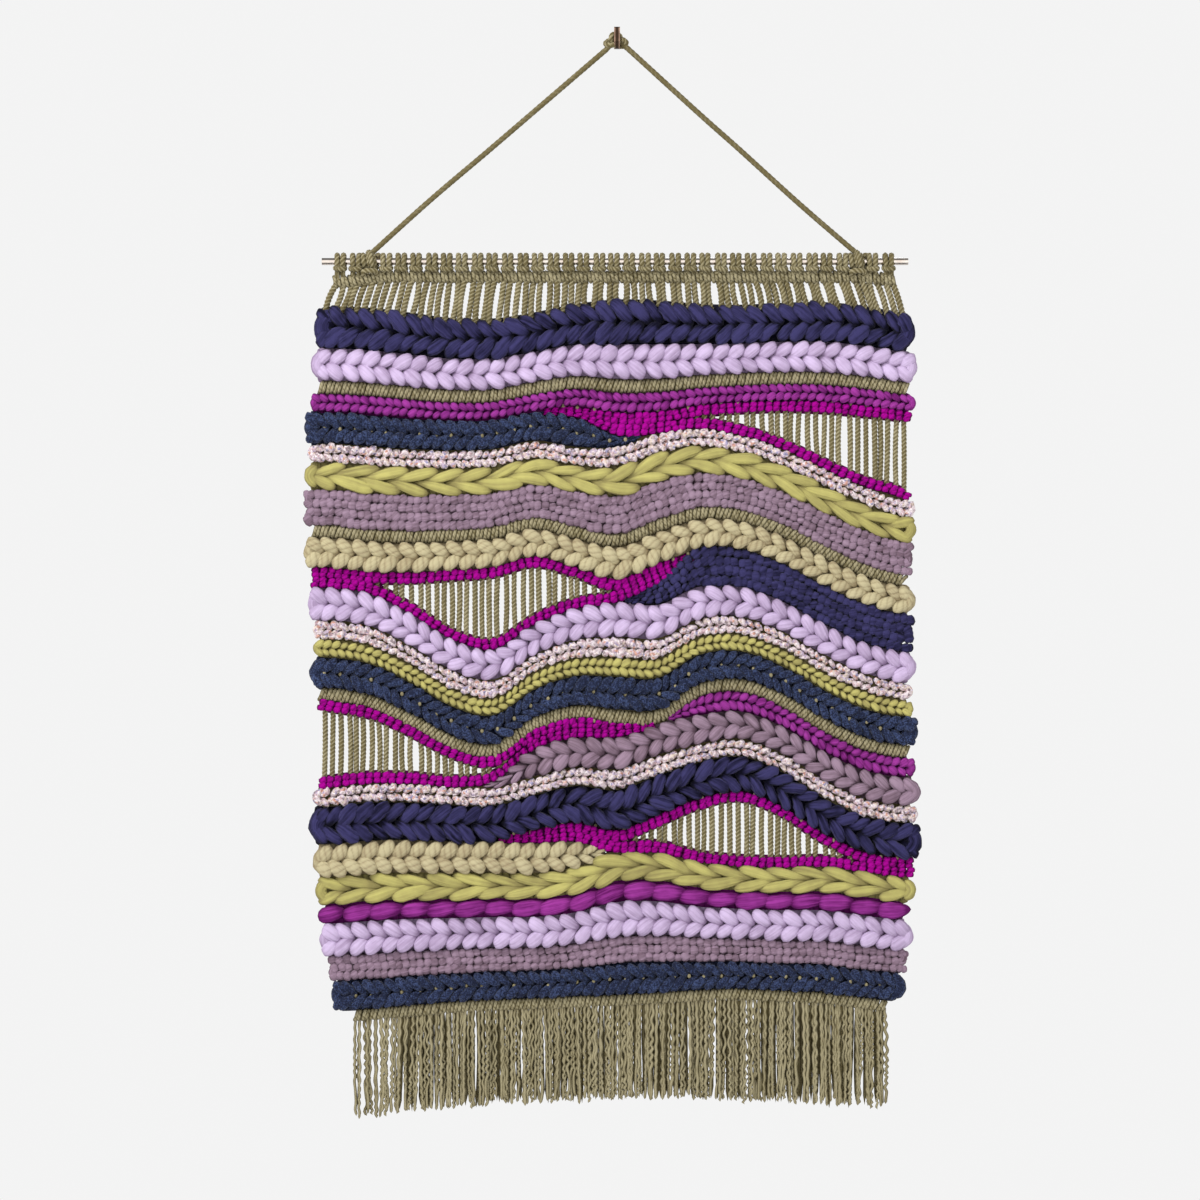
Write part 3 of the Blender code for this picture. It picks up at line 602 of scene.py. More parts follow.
def row_turns(course, kind, rng):
    """The turns at both ends of a plain weave: from row 1 to 2, 3 to 4 and so on at one end, from 2 to 3 and
    so on at the other."""
    rows = max(1, round(2 * np.median(course.half) / kind.row))
    middle = -1 + (np.arange(rows) + 0.5) * 2 / rows
    pairs = [(i % 2, middle[i], middle[i + 1]) for i in range(rows - 1)]
    lone = [(end, m - 0.3 / rows, m + 0.3 / rows) for end, m in ((1, middle[0]), (rows % 2, middle[-1]))]
    return end_turns(course, pairs + lone, 0.95 / rows, 0.0030, kind.thick, rng)


def hitch_wraps(course, tall, rng, slant=-0.0013):
    """Wraps of a row of double half hitches, two to each warp cord. Each is a cord over the ridge's front, at
    angle t from -20 to 195 degrees, 0 facing up and 180 facing down: across = 0.84 half cos t, forward =
    depth sin t, along = slant (t - pi / 2). A pinch near the front, by turns above and below it, parts each
    in two knobs."""
    depth, thick = 0.0037, 0.00172
    length = course.s[-1]
    count = 2 * round(length / HITCH_PITCH)
    number = np.arange(count)
    by_turns = (-1.0) ** number
    ring = round_ring(7)
    s0 = (number + 0.5) * length / count + 0.00016 * by_turns + rng.normal(0, 0.00014, count)
    t = np.radians([-20, 6, 30, 53, 75, 90, 105, 127, 150, 173, 195])[None]
    pinch = np.exp(-(((t - math.pi / 2 - 0.25 * by_turns[:, None]) / 0.22) ** 2))
    lean = slant * (1 + rng.normal(0, 0.15, count))[:, None]
    size = (1 + 0.055 * by_turns + rng.normal(0, 0.03, count))[:, None]
    s = s0[:, None] + lean * (t - math.pi / 2)
    across = tall / 2 * 0.84 * size * np.cos(t)
    forward = 0.0001 + depth * size * np.sin(t) * (1 - 0.14 * pinch)
    radius = thick * blunt(np.linspace(0, 1, t.size), 0.12, 0.12)[None]
    paths = on_course(course, s, across, forward)
    wraps = sweep(paths, radius, radius, ring, SIDEWAYS, 1.0, own_look(rng, count))
    # Painted light and shade: a wrap lighter where it faces front, darker above and below, in its pinch and
    # at its sides where it meets the next
    painted_light = (0.15 + 0.85 * np.sin(t).clip(0) ** 0.8) * (1 - 0.55 * pinch)
    return with_painted_shading(wraps, (0.95 - 0.80 * np.cos(ring) ** 4) * painted_light[..., None])


def ground_ribbon(course, front, back, margin=0.0022):
    """The weft behind the stitches, closed: its ring is a rounded box that reaches from front before the
    warp's plane to back behind it, and by margin past the band's edges. Its back swells where the yarn passes
    over a warp cord, by 0.7 mm sin(pi s / pitch) sin(pi across / 6.6 mm)."""
    pitch, swell_most, inset = 0.0065, 0.0007, 0.0015
    s = np.arange(inset, course.s[-1] - inset, pitch / 2)
    ring = np.radians([0, 65, 103.7, 151.2, 174.2, 185.8, 208.8, 256.3, 295])
    box, tall = powered(np.cos(ring), 0.6), powered(np.sin(ring), 0.7)
    half = half_at(course, s)[:, None] + margin
    girth = 3.53 * np.median(half)
    closing = blunt(np.linspace(0, 1, len(s)), 0.012, 0.012)[:, None]
    across = -half * tall[None] * closing
    middle, depth = (front - back) / 2, (front + back) / 2
    swell = swell_most * np.sin(math.pi * (s / pitch + 0.5))[:, None]
    swell = swell * np.sin(across / WARP_ROOM * math.pi + 0.8)
    forward = middle + depth * box[None] * closing + np.where(box < -0.5, swell - swell_most, 0.0)
    rings = on_course(course, np.repeat(s[:, None], len(ring), axis=1), across, forward)[None]
    ribbon = Tubes(rings, s[None].copy(), np.array([girth]), np.array([0.5]), None)
    # Painted shade on the ribbon's front, seen only in the gaps between stitches; its back is lighter
    return with_painted_shading(ribbon, np.where(box < -0.3, 0.75, 0.40))


def warp_cords(starts, ends, rng, sway, share):
    """Laid cords hung from starts to ends, (K, 3) each, bowed by a half wave and with their three plies, in
    batches of like length with a ring each RING_STEP. Their radius is share of half a cord's thickness."""
    order = np.argsort(np.linalg.norm(ends - starts, axis=1))
    ring = round_ring(9)
    most = 1.3 * sway
    batches = []
    for chosen in np.array_split(order, min(5, len(order))):
        first, last = starts[chosen], ends[chosen]
        total = len(chosen)
        count = max(6, int(np.ceil(np.linalg.norm(last - first, axis=1).max() / RING_STEP)))
        u = np.linspace(0, 1, count)[None, :, None]
        bow = np.sin(math.pi * u) * rng.normal(0, sway, (total, 1, 3)).clip(-most, most) * (1.0, 0.6, 0.0)
        paths = first[:, None] + (last - first)[:, None] * u + bow
        profile = laid(paths, ring, WARP_DEPTH, rng.uniform(0, TURN, total))
        radius = RADIUS * share * (1 + rng.normal(0, 0.03, total))[:, None]
        batches.append(sweep(paths, radius, radius, ring, FRONT, profile, own_look(rng, total)))
    return batches


def warp_peeks(course, across, forward, rng):
    """Where every second warp cord shows between the stitches: an upright bead 3.8 mm tall on the course, at
    across half heights and forward of the warp, drawn in at both ends by a quarter ellipse."""
    inside = 0.008
    x = warp_x(1.0)[::2]
    x = x[(x > course.x[0] + inside) & (x < course.x[-1] - inside)]
    s = np.interp(x, course.x, course.s)
    count = len(x)
    forward = forward + rng.uniform(-0.0024, 0.0005, count)
    middle = on_course(course, s, across * half_at(course, s) + rng.normal(0, 0.0007, count), forward)
    u = np.linspace(-1, 1, 8)
    paths = middle[:, None] + np.stack([0.0 * u, 0.0 * u, 0.0019 * u], axis=-1)
    radius = 0.00145 * blunt((u + 1) / 2, 0.45, 0.45)[None]
    return sweep(paths, radius, radius, round_ring(8), FRONT, 1.0, own_look(rng, count, 0.5))


# Materials

class NodeTree:
    """The nodes of a material or of the world. A method adds what it is named after, joined to the outputs or
    set to the numbers that it is given, and returns its output."""

    def __init__(self, owner):
        owner.use_nodes = True
        self.owner, self.nodes, self.links = owner, owner.node_tree.nodes, owner.node_tree.links

    def join(self, node, inputs):
        """Joins outputs to a node's inputs, or sets an input to its number, vector or colour."""
        for key, source in dict(inputs).items():
            if isinstance(source, bpy.types.NodeSocket):
                self.links.new(source, node.inputs[key])
            elif isinstance(source, tuple) and node.inputs[key].type == "RGBA":
                node.inputs[key].default_value = (*source, 1.0)
            else:
                node.inputs[key].default_value = source

    def add(self, kind, inputs=(), **settings):
        """A node of a kind, itself."""
        node = self.nodes.new("ShaderNode" + kind)
        for key, value in settings.items():
            setattr(node, key, value)
        self.join(node, inputs)
        return node

    def place(self):
        """A point's place on the object."""
        return self.add("TexCoord").outputs["Object"]

    def uv(self):
        """Length along the yarn and distance round it."""
        return self.add("UVMap", uv_map="yarn").outputs[0]

    def attribute(self, name):
        """A number that the mesh holds for each of its points."""
        return self.add("Attribute", attribute_name=name).outputs["Fac"]

    def parts(self, vector):
        """The x, y and z of a vector."""
        return self.add("SeparateXYZ", {0: vector}).outputs

    def math(self, operation, *values):
        return self.add("Math", enumerate(values), operation=operation).outputs[0]

    def times(self, first, second):
        return self.math("MULTIPLY", first, second)

    def less(self, first, second):
        return self.math("SUBTRACT", first, second)

    def plus(self, total, *others):
        for other in others:
            total = self.math("ADD", total, other)
        return total

    def power(self, value, power):
        """The value without its sign, to a power."""
        return self.math("POWER", self.math("ABSOLUTE", value), power)

    def noise(self, vector, scale, detail=2.0, roughness=0.5, stretch=None):
        """Soft noise, drawn out by stretch, a scale for each axis."""
        if stretch:
            vector = self.add("Mapping", {"Vector": vector, "Scale": stretch}).outputs[0]
        inputs = {"Vector": vector, "Scale": scale, "Detail": detail, "Roughness": roughness}
        return self.add("TexNoise", inputs).outputs["Fac"]

    def flecks(self, vector, scale):
        """Cells round scattered points: their colour, and the distance to the point."""
        return self.add("TexVoronoi", {"Vector": vector, "Scale": scale}, feature="F1").outputs

    def mixed(self, factor, first, second, blend="MIX"):
        """The first colour blended with the second by the factor."""
        inputs = {0: factor, 6: first, 7: second}
        return self.add("Mix", inputs, data_type="RGBA", blend_type=blend).outputs[2]

    def ramp(self, factor, stops, interpolation="LINEAR"):
        """A colour that goes through stops of a place and a colour as the factor rises."""
        node = self.add("ValToRGB", {0: factor})
        node.color_ramp.interpolation = interpolation
        elements = node.color_ramp.elements
        while len(elements) < len(stops):
            elements.new(0.5)
        for element, (place, colour) in zip(elements, stops):
            element.position = place
            element.color = (*colour, 1.0)
        return node.outputs["Color"]

    def eased(self, value, start, end, low, high):
        """From low to high by a smooth step as the value goes from start to end."""
        inputs = enumerate((value, start, end, low, high))
        return self.add("MapRange", inputs, interpolation_type="SMOOTHSTEP").outputs[0]

    def surface(self, colour, height, strength, depth, finish):
        """Sets the surface's colour, its bump by the height and its finish, and returns the material."""
        bump = self.add("Bump", {"Strength": strength, "Distance": depth, "Height": height})
        shader = self.nodes["Principled BSDF"]
        self.join(shader, {"Base Color": colour, "Normal": bump.outputs[0], **finish})
        return self.owner


def weft_cells(made, uv):
    """The weft's passes over the warp on the cloth's back, rounded cells 6.6 mm long and 6.4 mm tall: 1 less
    the root of |sin(pi u / 6.6 mm) sin(pi v / 6.4 mm)|. It is 0 but on pieces with the weft mark."""
    sizes = zip(made.parts(uv), (WARP_ROOM, 0.0064))
    waves = [made.math("SINE", made.times(part, math.pi / size)) for part, size in sizes]
    hollow = made.less(1.0, made.power(made.times(*waves), 0.5))
    return made.times(hollow, made.attribute("weft"))


def fibre_material(name, fibre):
    """A yarn of combed fibres. Streaks run along it, noise drawn out along the yarn. Its colour goes from
    shade to light by streak streaks + 0.22 tone + 0.45 mottle + the painted shading at its weight, less a
    level: painted shade in the hollows and painted light on the crests. A laid yarn's plies meet in lines
    across it, |sin(pi (u + slope v) / lay)|^0.6 - 0.7, painted darker in those lines. Its height is the
    streaks, its fluff, its plies and the weft's cells, whose dividing lines are painted darker too."""
    made = NodeTree(bpy.data.materials.new(name))
    uv, place = made.uv(), made.place()
    streaks = made.noise(uv, fibre.fine, 3.0, 0.6, (fibre.drawn, 1.0, 1.0))
    tone = made.times(made.attribute("tone"), 0.22)
    mottle = made.times(made.noise(place, 90.0), 0.45)
    # Painted shade in the hollows and painted light on the crests
    relief = made.times(made.attribute("relief"), fibre.groove)
    mix = made.plus(made.times(streaks, fibre.streak), tone, mottle, relief)
    mix = made.less(mix, 0.5 * fibre.streak - 0.155 + fibre.groove * fibre.level)
    height = made.plus(streaks, made.times(made.noise(place, 1400.0, 2.0, 0.7), fibre.fluff))
    if fibre.lay:
        u, v, _ = made.parts(uv)
        slant = made.plus(u, made.times(v, fibre.slope))
        wave = made.math("SINE", made.times(slant, math.pi / fibre.lay))
        wave = made.less(made.power(wave, 0.6), 0.7)
        if fibre.marked:
            wave = made.times(wave, made.attribute("plies"))
        # Painted shade in the lines where plies meet
        mix = made.plus(mix, made.times(wave, 0.35))
        height = made.plus(height, made.times(wave, 0.8))
    cells = weft_cells(made, uv)
    # Painted shade in the lines between the weft's cells
    mix = made.less(mix, made.times(cells, 0.55))
    height = made.less(height, made.times(cells, 1.5))
    colour = made.ramp(mix, [(0.25, YARNS[name].shade), (0.75, YARNS[name].light)])
    finish = {
        "Roughness": 0.95,
        "Specular IOR Level": 0.10,
        "Sheen Weight": fibre.sheen,
        "Sheen Roughness": 0.45,
    }
    return made.surface(colour, height, 0.9, fibre.bump, finish)


def chenille_material(name):
    """Short velvety pile: tufts from cells and noise, gathered in clumps, coloured by their height so that
    its hollows carry painted shade, nearly black.
    """
    made = NodeTree(bpy.data.materials.new(name))
    place = made.place()
    tufts = made.flecks(place, 760.0)["Distance"]
    clumps = made.less(made.times(made.noise(place, 290.0), 1.1), 0.55)
    height = made.plus(made.less(made.noise(place, 500.0, 4.0, 0.7), tufts), clumps)
    height = made.less(height, made.times(weft_cells(made, made.uv()), 0.5))
    # Colour follows the height: painted shade in the pile's hollows and in the lines between the weft's cells
    mix = made.plus(height, made.times(made.attribute("tone"), 0.18), 0.25)
    colour = made.ramp(mix, [(0.20, YARNS[name].shade), (0.80, YARNS[name].light)])
    finish = {
        "Roughness": 0.95,
        "Specular IOR Level": 0.2,
        "Sheen Weight": 0.08,
        "Sheen Roughness": 0.4,
    }
    return made.surface(colour, height, 1.0, 0.0010, finish)


def tweed_material(name):
    """Flecked boucle: cells of mixed colour on white, over a knobbly surface, with painted shade in its
    hollows.
    """
    made = NodeTree(bpy.data.materials.new(name))
    place = made.place()
    flecks = made.flecks(place, 470.0)
    pick = made.add("SeparateColor", {0: flecks["Color"]}).outputs[0]
    stops = [
        (0.00, (0.740, 0.640, 0.660)),
        (0.34, (0.520, 0.330, 0.370)),
        (0.47, (0.440, 0.350, 0.520)),
        (0.57, (0.640, 0.530, 0.400)),
        (0.68, (0.560, 0.200, 0.080)),
        (0.75, (0.110, 0.070, 0.080)),
        (0.84, (0.800, 0.740, 0.760)),
        (0.95, (0.130, 0.150, 0.380)),
    ]
    soft = made.mixed(0.35, made.ramp(pick, stops, "CONSTANT"), (0.700, 0.580, 0.600))
    knobs = made.noise(place, 420.0, 3.0, 0.6)
    # Painted shade in the knobs' hollows, down to 0.52 of the colour
    painted_hollow_shade = made.ramp(knobs, [(0.34, (0.52, 0.45, 0.46)), (0.54, (1.0, 1.0, 1.0))])
    colour = made.mixed(1.0, soft, painted_hollow_shade, "MULTIPLY")
    height = made.less(knobs, flecks["Distance"])
    return made.surface(colour, height, 1.0, 0.0012, {"Roughness": 0.9, "Sheen Weight": 0.1})


def metal_material(name, colour, roughness, worn, hollow=0.0):
    """Metal with a fine drawn grain and a slight mottle in its colour and polish. Where hollow is set, it has
    painted shade within that distance of x = 0, in the strap's rolled hollow."""
    made = NodeTree(bpy.data.materials.new(name))
    place = made.place()
    grain = made.noise(place, 2600.0, stretch=(0.03, 1.0, 1.0))
    mottle = made.noise(place, 160.0, 3.0)
    tint = made.ramp(mottle, [(0.35, worn), (0.65, colour)])
    if hollow:
        # Painted shade in the strap's rolled hollow, down to 0.16 of the colour at its middle
        aside = made.math("ABSOLUTE", made.parts(place)[0])
        inside = made.math("DIVIDE", aside, hollow)
        edge = made.ramp(inside, [(0.40, (0.16, 0.15, 0.14)), (0.72, (1.0, 1.0, 1.0))])
        tint = made.mixed(1.0, tint, edge, "MULTIPLY")
    polish = made.ramp(mottle, [(0.3, (roughness * 0.8,) * 3), (0.7, (roughness * 1.4,) * 3)])
    return made.surface(tint, grain, 0.25, 0.00005, {"Roughness": polish, "Metallic": 1.0})


def make_materials():
    """Every finish, under its own name."""
    made = {name: fibre_material(name, fibre) for name, fibre in FIBRES.items()}
    made["denim"] = chenille_material("denim")
    made["tweed"] = tweed_material("tweed")
    made["steel"] = metal_material("steel", (0.72, 0.66, 0.60), 0.09, (0.62, 0.53, 0.46))
    made["bronze"] = metal_material("bronze", (0.330, 0.215, 0.155), 0.30, (0.200, 0.125, 0.090), 0.0025)
    return made


# The hanging cord, the rod's knots and the warp

def knot_x(index):
    """Place across of a knot on the rod: even steps, with 0.4 mm sin(2.3 index) of unevenness."""
    return FIRST_KNOT_X + index * KNOT_PITCH + 0.0004 * np.sin(2.3 * index)


def heading_z(x):
    """Height of the heading ridge: level, and sagging by a smooth step towards both ends."""
    left, right = smooth_step((-0.195 - x) / 0.040), smooth_step((x - 0.205) / 0.035)
    return HEADING_Z - HEADING_SAG * (left + 0.6 * right)


def level_at(levels, x):
    """Height at x on the straight lines between levels."""
    return np.interp(x, [level.x for level in levels], [level.z for level in levels])


def hem_z(x):
    """Height of the hem ridge at x."""
    return level_at(HEM, x)


def warp_x(down):
    """Places across of all warp cords, down from 0 at the rod, where they hang in pairs, to 1 in the cloth,
    where they are evenly set, spread a little and lean by three sines."""
    number = np.arange(2 * KNOTS)
    index, side = number // 2, number % 2
    at_rod = knot_x(index) + (side - 0.5) * CORDS_APART
    lean = 0.0004 * np.sin(2.3 * number) + 0.0003 * np.sin(5.1 * number)
    lean = lean + 0.0010 * np.sin(0.47 * number + 1.0)
    evenly_set = knot_x(index) + (side - 0.5) * KNOT_PITCH / 2
    in_cloth = (evenly_set - MIDDLE_X) * SPREAD + MIDDLE_X + lean
    return at_rod + (in_cloth - at_rod) * down


def hang_the_cord():
    """The hanging cord: up from the left turns on the rod, over the hook's saddle and down to the right. Its
    path is the cubic through its line, in even steps, and its plies lie longer than the warp's."""
    foot = ROD_Z + ROD_RADIUS + CORD * 0.7
    left, right = (Level(knot_x(index), foot) for index in HANGING_KNOTS)
    line = [(level.x, WARP_Y, level.z) for level in (left, *CORD_LINE, right)]
    path = evenly(rounded_path([line], 900), 620)
    ring = round_ring(9)
    profile = laid(path, ring, LEG_DEPTH, step=PLY_STEP * 1.4)
    cord = sweep(path, RADIUS * LEG, RADIUS * LEG, ring, FRONT, profile)
    # The cord's painted ply shading halved, which darkens the whole cord
    piece = add_piece("hanging_cord_legs", [with_painted_shading(cord, cord.relief * 0.5)], "olive", ["hanging_cord"])


def round_the_rod(x, out, turn):
    """A path round the rod's axis: forward = out sin and up = out cos of its turns."""
    return np.stack([x, WARP_Y - out * np.sin(TURN * turn), ROD_Z + out * np.cos(TURN * turn)], axis=-1)


def tie_the_cord():
    """The cord's knots: three turns round the rod at each foot with one crossing over them, and in the hook
    an overhand knot. Turns are a helix round the rod's axis, and the crossing rises over them by a half wave.
    The overhand is the trefoil (sin t + 2 sin 2t, cos t - 2 cos 2t, -sin 3t), made wide, tall and deep."""
    steps = 90
    apart, run, rise = 0.0043, 0.0110, 0.0026
    wide, tall, deep, middle = 0.0031, 0.0019, 0.0026, Level(-0.0009, -0.0060)
    paths = []
    for index in HANGING_KNOTS:
        turn = np.linspace(-0.05, 3.05, steps)
        paths.append(round_the_rod(knot_x(index) + (turn - 1.5) * apart, OVER, turn))
        turn = np.linspace(-0.30, 0.55, steps)
        wider = OVER + rise * np.sin(math.pi * np.linspace(0, 1, steps)) ** 0.5
        paths.append(round_the_rod(knot_x(index) + run * (turn - 0.12), wider, turn))
    t = np.linspace(0, TURN, steps)
    x = middle.x + wide * (np.sin(t) + 2 * np.sin(2 * t))
    z = middle.z - tall * (np.cos(t) - 2 * np.cos(2 * t))
    paths.append(np.stack([x, WARP_Y - deep * np.sin(3 * t), z], axis=-1))
    paths = np.array(paths)
    ring = round_ring(9)
    knots = sweep(paths, RADIUS * TURNED, RADIUS * TURNED, ring, SIDEWAYS + 0.01, laid(paths, ring))
    add_piece("hanging_cord_knots", [knots], "olive", ["hanging_cord"])


def tie_larks_heads():
    """Lark's heads in front view: each cord is doubled, its bight the bar across the front, its two ends up
    over the rod, down behind it and into the heading ridge. The path is the cubic through half a head and its
    mirror, tilted a little and scaled from head to head. At the hanging cord's feet only the bar shows."""
    rng = np.random.default_rng(11)
    shape = np.array([Spot(-spot.x, spot.forward, spot.z) for spot in HALF_HEAD[:0:-1]] + list(HALF_HEAD))
    index = np.array([i for i in range(KNOTS) if i not in HANGING_KNOTS])
    count = len(index)
    tilt = rng.normal(-0.08, 0.10, count)
    size = 1 + rng.normal(0, 0.04, count)
    aside, forward, up = shape.T[:, None]
    x = knot_x(index)[:, None] + aside * size[:, None]
    is_bar = np.abs(np.arange(len(shape)) - len(HALF_HEAD) + 1)[None] < 4
    z = ROD_Z + up + np.where(is_bar, tilt[:, None] * aside, 0.0)
    drop = (heading_z(knot_x(index)) - HEADING_Z)[:, None] * (up < -0.008)
    y = WARP_Y - np.broadcast_to(forward, x.shape)
    paths = rounded_path(np.stack([x, y, z + drop], axis=-1), 92)
    ring = round_ring(9)
    profile = laid(paths, ring, phase=rng.uniform(0, TURN, count))
    facing = np.array([0.2, -0.1, 0.03])
    look = own_look(rng, count)
    knots = sweep(paths, RADIUS * KNOTTED, RADIUS * KNOTTED, ring, facing, profile, look)
    places = [(knot_x(i), spot) for i in HANGING_KNOTS for spot in HEAD_BAR]
    points = [(x + spot.x, WARP_Y - spot.forward, ROD_Z + spot.z) for x, spot in places]
    bars = rounded_path(np.reshape(points, (len(HANGING_KNOTS), -1, 3)), 30)
    bars = sweep(bars, RADIUS * BAR, RADIUS * BAR, ring, FRONT, laid(bars, ring))
    add_piece("larks_heads", [knots, bars], "olive", ["heading"])


def lay_heading():
    """The heading ridge, and the bare warp from it down to the first band, each cord straight between its
    places at the rod and in the cloth."""
    rng = np.random.default_rng(12)
    start, end = knot_x(0) - 0.0060, knot_x(KNOTS - 1) + 0.0060
    ridge = straight_course(heading_z, start, end, 0.0008)
    wraps = hitch_wraps(ridge, RIDGE_TALL + 0.0010, rng, 0.0009)
    mark(add_piece("heading_ridge", [wraps], "olive", ["heading"]), "plies")
    places, _, high = band_edges("braid_navy_1")
    x0, x1 = warp_x(0.0), warp_x(1.0)
    starts = np.stack([x0, np.full_like(x0, WARP_Y), heading_z(x0)], axis=-1)
    ends = np.stack([x1, np.full_like(x1, WARP_Y), smooth_line(places, high, x1) - 0.004], axis=-1)
    starts[:, 1] += rng.normal(0, 0.0006, len(x0))
    ends[:, 1] += rng.normal(0, 0.0006, len(x0))
    add_piece("bare_warp", warp_cords(starts, ends, rng, 0.0012, BARE), "olive", ["heading"])
    return [("olive", ground_ribbon(ridge, 0.0012, 0.0036, -0.0008))]


def hang_plies(layer, rng):
    """Plies let out of the warp's cut ends: each hangs from the hem ridge to its own length, crimped in a
    wave of its old lay, (x, y) = (sin, cos) of the way down, and drifts aside as it goes down."""
    count = layer.count
    ring = round_ring(5)
    u = np.linspace(0, 1, layer.steps)[None]
    x0 = np.linspace(layer.left, FRINGE_RIGHT, count) + rng.uniform(-0.0016, 0.0016, count)
    bottom = level_at(FRINGE_END, x0) + rng.normal(0, 0.0017, count)
    top = hem_z(x0)
    uneven = 1 + 0.12 * np.sin(9 * u + rng.uniform(0, TURN, count)[:, None])
    wave = rng.uniform(0.0075, 0.0115, count)[:, None] * uneven
    phase = rng.uniform(0, TURN, (2, count, 1))
    down = (top - bottom)[:, None] * u
    amount = np.clip(u * 6, 0, 1) * rng.uniform(0.4, 1.2, count)[:, None] * layer.crimp
    drift = rng.normal(0, 0.0013, count)[:, None] * u + rng.normal(0, 0.0009, count)[:, None] * np.sin(3 * u)
    x = x0[:, None] + drift + amount * np.sin(TURN * down / wave + phase[0])
    behind = rng.uniform(*layer.behind, count)[:, None] * (0.3 + 0.7 * np.clip(u * 4, 0, 1))
    y = WARP_Y + behind + amount * np.cos(TURN * down / wave + phase[1])
    z = top[:, None] - down
    radius = layer.radius * (1 + rng.normal(0, 0.10, count))[:, None] * blunt(u, 0.001, 0.03)
    paths = np.stack([x, y, z], axis=-1)
    hung = sweep(paths, radius, radius, ring, FRONT, 1.0, own_look(rng, count))
    # Painted shade: each ply lighter on its front, darker at its sides and back
    return with_painted_shading(hung, 0.10 + 0.80 * np.cos(ring).clip(0))


def lay_fringe():
    """The hem ridge, and the plies in two layers: in front thin crimped ones, in pairs of a cord's, and close
    behind them straighter ones that begin a little further in from the left."""
    rng = np.random.default_rng(13)
    ridge = straight_course(hem_z, HEM[0].x, HEM[-1].x)
    mark(add_piece("hem_ridge", [hitch_wraps(ridge, RIDGE_TALL, rng)], "olive", ["fringe"]), "plies")
    front, back = hang_plies(FRONT_LAYER, rng), hang_plies(BACK_LAYER, rng)
    # Painted shade on the back layer: its painted shading and its tone halved
    back = back._replace(relief=back.relief * 0.5, tone=back.tone * 0.5)
    add_piece("fringe_plies", [front, back], "olive", ["fringe"])
    return [("olive", ground_ribbon(ridge, 0.0012, 0.0036, -0.0008))]


# Bands

def lay_braids():
    """Each braid's locks, and for a braid of two rows a turn at every end that is nearly as tall as its
    middle.
    """
    grounds = []
    for number, band in enumerate(BANDS):
        rng = np.random.default_rng(100 + number)
        course = course_between(*band_edges(band.node))
        kind = BRAIDS[band.braid]
        groups = [braid_locks(course, kind, band.way, band.lumps, rng)]
        tall = [end for end in (0, 1) if course.half[-end] > 0.6 * np.median(course.half)]
        spans = [(end, -0.92 * kind.outer, 0.92 * kind.outer) for end in tall]
        if kind.rows == 2:
            groups.append(end_turns(course, spans, 0.44, kind.centre * 0.75, kind.thick, rng))
        add_piece(band.node + "_locks", groups, band.yarn, [band.node])
        if band.braid == "chenille":
            add_piece(band.node + "_warp", [warp_peeks(course, 0.0, 0.0078, rng)], "olive", [band.node])
        behind = "olive" if band.yarn == "tweed" else band.yarn
        grounds.append((behind, ground_ribbon(course, 0.0014, 0.0052)))
    return grounds


def lay_weaves():
    """Each plain weave's stitches and turns."""
    grounds = []
    for number, (node, yarn) in enumerate(WEAVES):
        rng = np.random.default_rng(200 + number)
        course = course_between(*band_edges(node))
        stitches = woven_rows(course, PLAIN, rng)
        add_piece(node + "_stitches", [stitches, row_turns(course, PLAIN, rng)], yarn, [node])
        grounds.append((yarn, ground_ribbon(course, 0.0014, 0.0050)))
    return grounds


def lay_ridges():
    """Each ridge's hitches."""
    grounds = []
    for number, node in enumerate(RIDGES):
        rng = np.random.default_rng(300 + number)
        places, low, high = band_edges(node)
        course = course_between(places, low, high)
        grounds.append(("olive", ground_ribbon(course, 0.0012, 0.0044)))
        wraps = hitch_wraps(course, float(np.median(high - low)) * 1.08, rng)
        mark(add_piece(node + "_wraps", [wraps], "olive", [node]), "plies")
    return grounds


def slit_edges(node):
    """Edges of a slit's two rows of rope: the band's own, and those of the opening, which are the inner two
    heights of its solid's back corners at each column. An end that is open takes the column before it."""
    places, low, high = band_edges(node)
    _, sections = band_columns(node)
    bottom, top = np.zeros(len(places)), np.zeros(len(places))
    for i, section in enumerate(sections):
        back = section[section[:, 1] > section[:, 1].max() - 0.00005]
        heights = np.unique(back[:, 2].round(5))
        inner = heights[1:-1] if len(heights) >= 4 else heights
        bottom[i], top[i] = inner[0], inner[-1]
    for end, before in ((0, 1), (-1, -2)):
        if len(np.unique(sections[end][:, 2].round(4))) < 4 or top[end] - bottom[end] > 0.01:
            for edge in (low, bottom, top, high):
                edge[end] = edge[before] + 0.3 * (edge[before] - edge[2 * before - end])
    return places, low, bottom, top, high


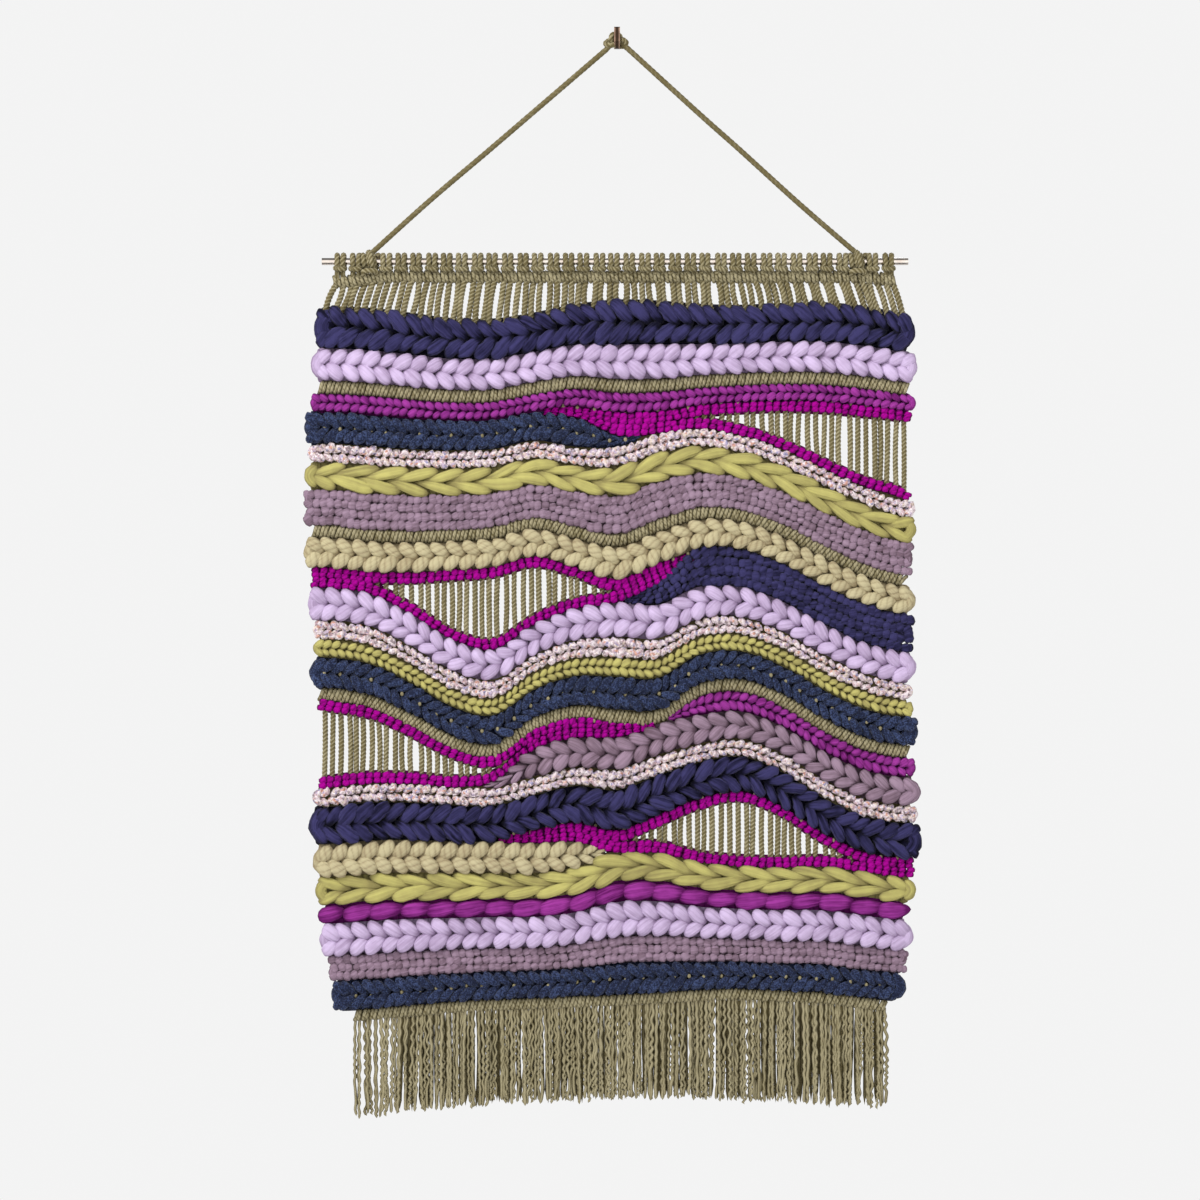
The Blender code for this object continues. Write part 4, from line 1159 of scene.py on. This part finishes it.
def lay_slits():
    """Each slit's two rows of rope, and the bare warp across its opening, straight down from 3 mm inside the
    upper row to 3 mm inside the lower. A row that ends within the cloth runs on 8 mm under its neighbours."""
    under, inside, least = 0.008, 0.003, 0.002
    grounds = []
    for number, node in enumerate(SLITS):
        rng = np.random.default_rng(400 + number)
        places, low, bottom, top, high = slit_edges(node)
        for end, outward in ((0, -under), (-1, under)):
            if top[end] - bottom[end] < least and abs(places[end]) < 0.2:
                places[end] += outward
        rows = []
        for edge_low, edge_high in ((low, bottom), (top, high)):
            course = course_between(places, edge_low, edge_high, 0.0020)
            rows.append(woven_rows(course, ROPE, rng))
            grounds.append(("magenta", ground_ribbon(course, 0.0010, 0.0042)))
        x = warp_x(1.0)
        gap_low, gap_high = smooth_line(places, bottom, x), smooth_line(places, top, x)
        keep = (x > places[0]) & (x < places[-1]) & (gap_high - gap_low > least)
        x, gap_low, gap_high = x[keep], gap_low[keep], gap_high[keep]
        level = np.full_like(x, WARP_Y)
        starts = np.stack([x, level, gap_high + inside], axis=-1)
        ends = np.stack([x + rng.normal(0, 0.0007, len(x)), level, gap_low - inside], axis=-1)
        add_piece(node + "_rope", rows, "magenta", [node])
        cords = warp_cords(starts, ends, rng, 0.0007, TAUT)
        add_piece(node + "_warp", cords + [warp_peeks(course, 1.0, 0.0040, rng)], "olive", [node])
    return grounds


def lay_ground(grounds):
    """The wefts' own backs, which make the sheet of the cloth: one closed ribbon a band, each in its yarn."""
    piece = add_piece("cloth_ground", [ribbon for _, ribbon in grounds], "olive")
    names = sorted({yarn for yarn, _ in grounds})
    piece.data.materials.clear()
    for yarn in names:
        piece.data.materials.append(materials[yarn])
    slots = []
    for yarn, ribbon in grounds:
        _, u, v, _ = ribbon.rings.shape
        slots.append(np.full((u - 1) * v + 2, names.index(yarn)))
    piece.data.polygons.foreach_set("material_index", np.concatenate(slots).astype(np.int32))
    mark(piece, "weft")


# Stage

def make_camera():
    """A long lens square to the cloth, framing a width of 1.0236 m at the cloth."""
    framed = 1.0236
    data = bpy.data.cameras.new("camera")
    data.lens = 105.0
    data.sensor_width = 36.0
    camera = bpy.data.objects.new("camera", data)
    bpy.context.scene.collection.objects.link(camera)
    distance = framed * data.lens / data.sensor_width
    camera.location = (-0.0145, WARP_Y - distance, -0.4827)
    camera.rotation_euler = (math.pi / 2, 0.0, 0.0)
    bpy.context.scene.camera = camera


def area_light(name, place, size, power):
    """A square light at a place, turned to face the middle of the cloth by the two angles of that line."""
    middle = np.array((0.0, 0.0, -0.5))
    data = bpy.data.lights.new(name, "AREA")
    data.shape = "RECTANGLE"
    data.size, data.size_y = size, size
    data.energy = power
    light = bpy.data.objects.new(name, data)
    bpy.context.scene.collection.objects.link(light)
    light.location = place
    x, y, z = middle - np.array(place)
    light.rotation_euler = (math.atan2(math.hypot(x, y), -z), 0.0, math.atan2(y, x) - math.pi / 2)


def make_stage():
    """A pale floor, a white surround, dimmer above and below and brighter in front, and three lights."""
    bpy.ops.mesh.primitive_plane_add(size=4.4, location=(0.0, 0.0, -1.50))
    floor = bpy.context.active_object
    floor.name = "floor"
    made = NodeTree(bpy.data.materials.new("floor"))
    made.join(made.nodes["Principled BSDF"], {"Base Color": (0.82, 0.82, 0.82), "Roughness": 0.9})
    floor.data.materials.append(made.owner)
    world = bpy.data.worlds.new("world")
    bpy.context.scene.world = world
    made = NodeTree(world)
    _, y, z = made.parts(made.add("TexCoord").outputs["Generated"])
    level = made.eased(made.math("ABSOLUTE", z), 0.30, 0.80, 1.0, 0.18)
    front = made.eased(y, 0.10, -0.60, 0.90, 1.55)
    strength = made.times(level, front)
    made.join(made.nodes["Background"], {"Color": (1.0, 1.0, 1.0), "Strength": strength})
    area_light("key", (-1.6, -1.6, 1.5), 0.9, 62.0)
    area_light("fill", (1.8, -2.4, 0.2), 1.6, 4.0)
    area_light("back", (0.5, 2.2, 1.0), 1.6, 42.0)


materials = make_materials()
bpy.context.scene.view_settings.view_transform = "Standard"
make_camera()
hang_the_cord()
tie_the_cord()
tie_larks_heads()
lay_ground(lay_heading() + lay_braids() + lay_weaves() + lay_slits() + lay_ridges() + lay_fringe())
for node, finish in (("rod", "steel"), ("hook", "bronze")):
    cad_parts[node].data.materials.clear()
    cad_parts[node].data.materials.append(materials[finish])
make_stage()
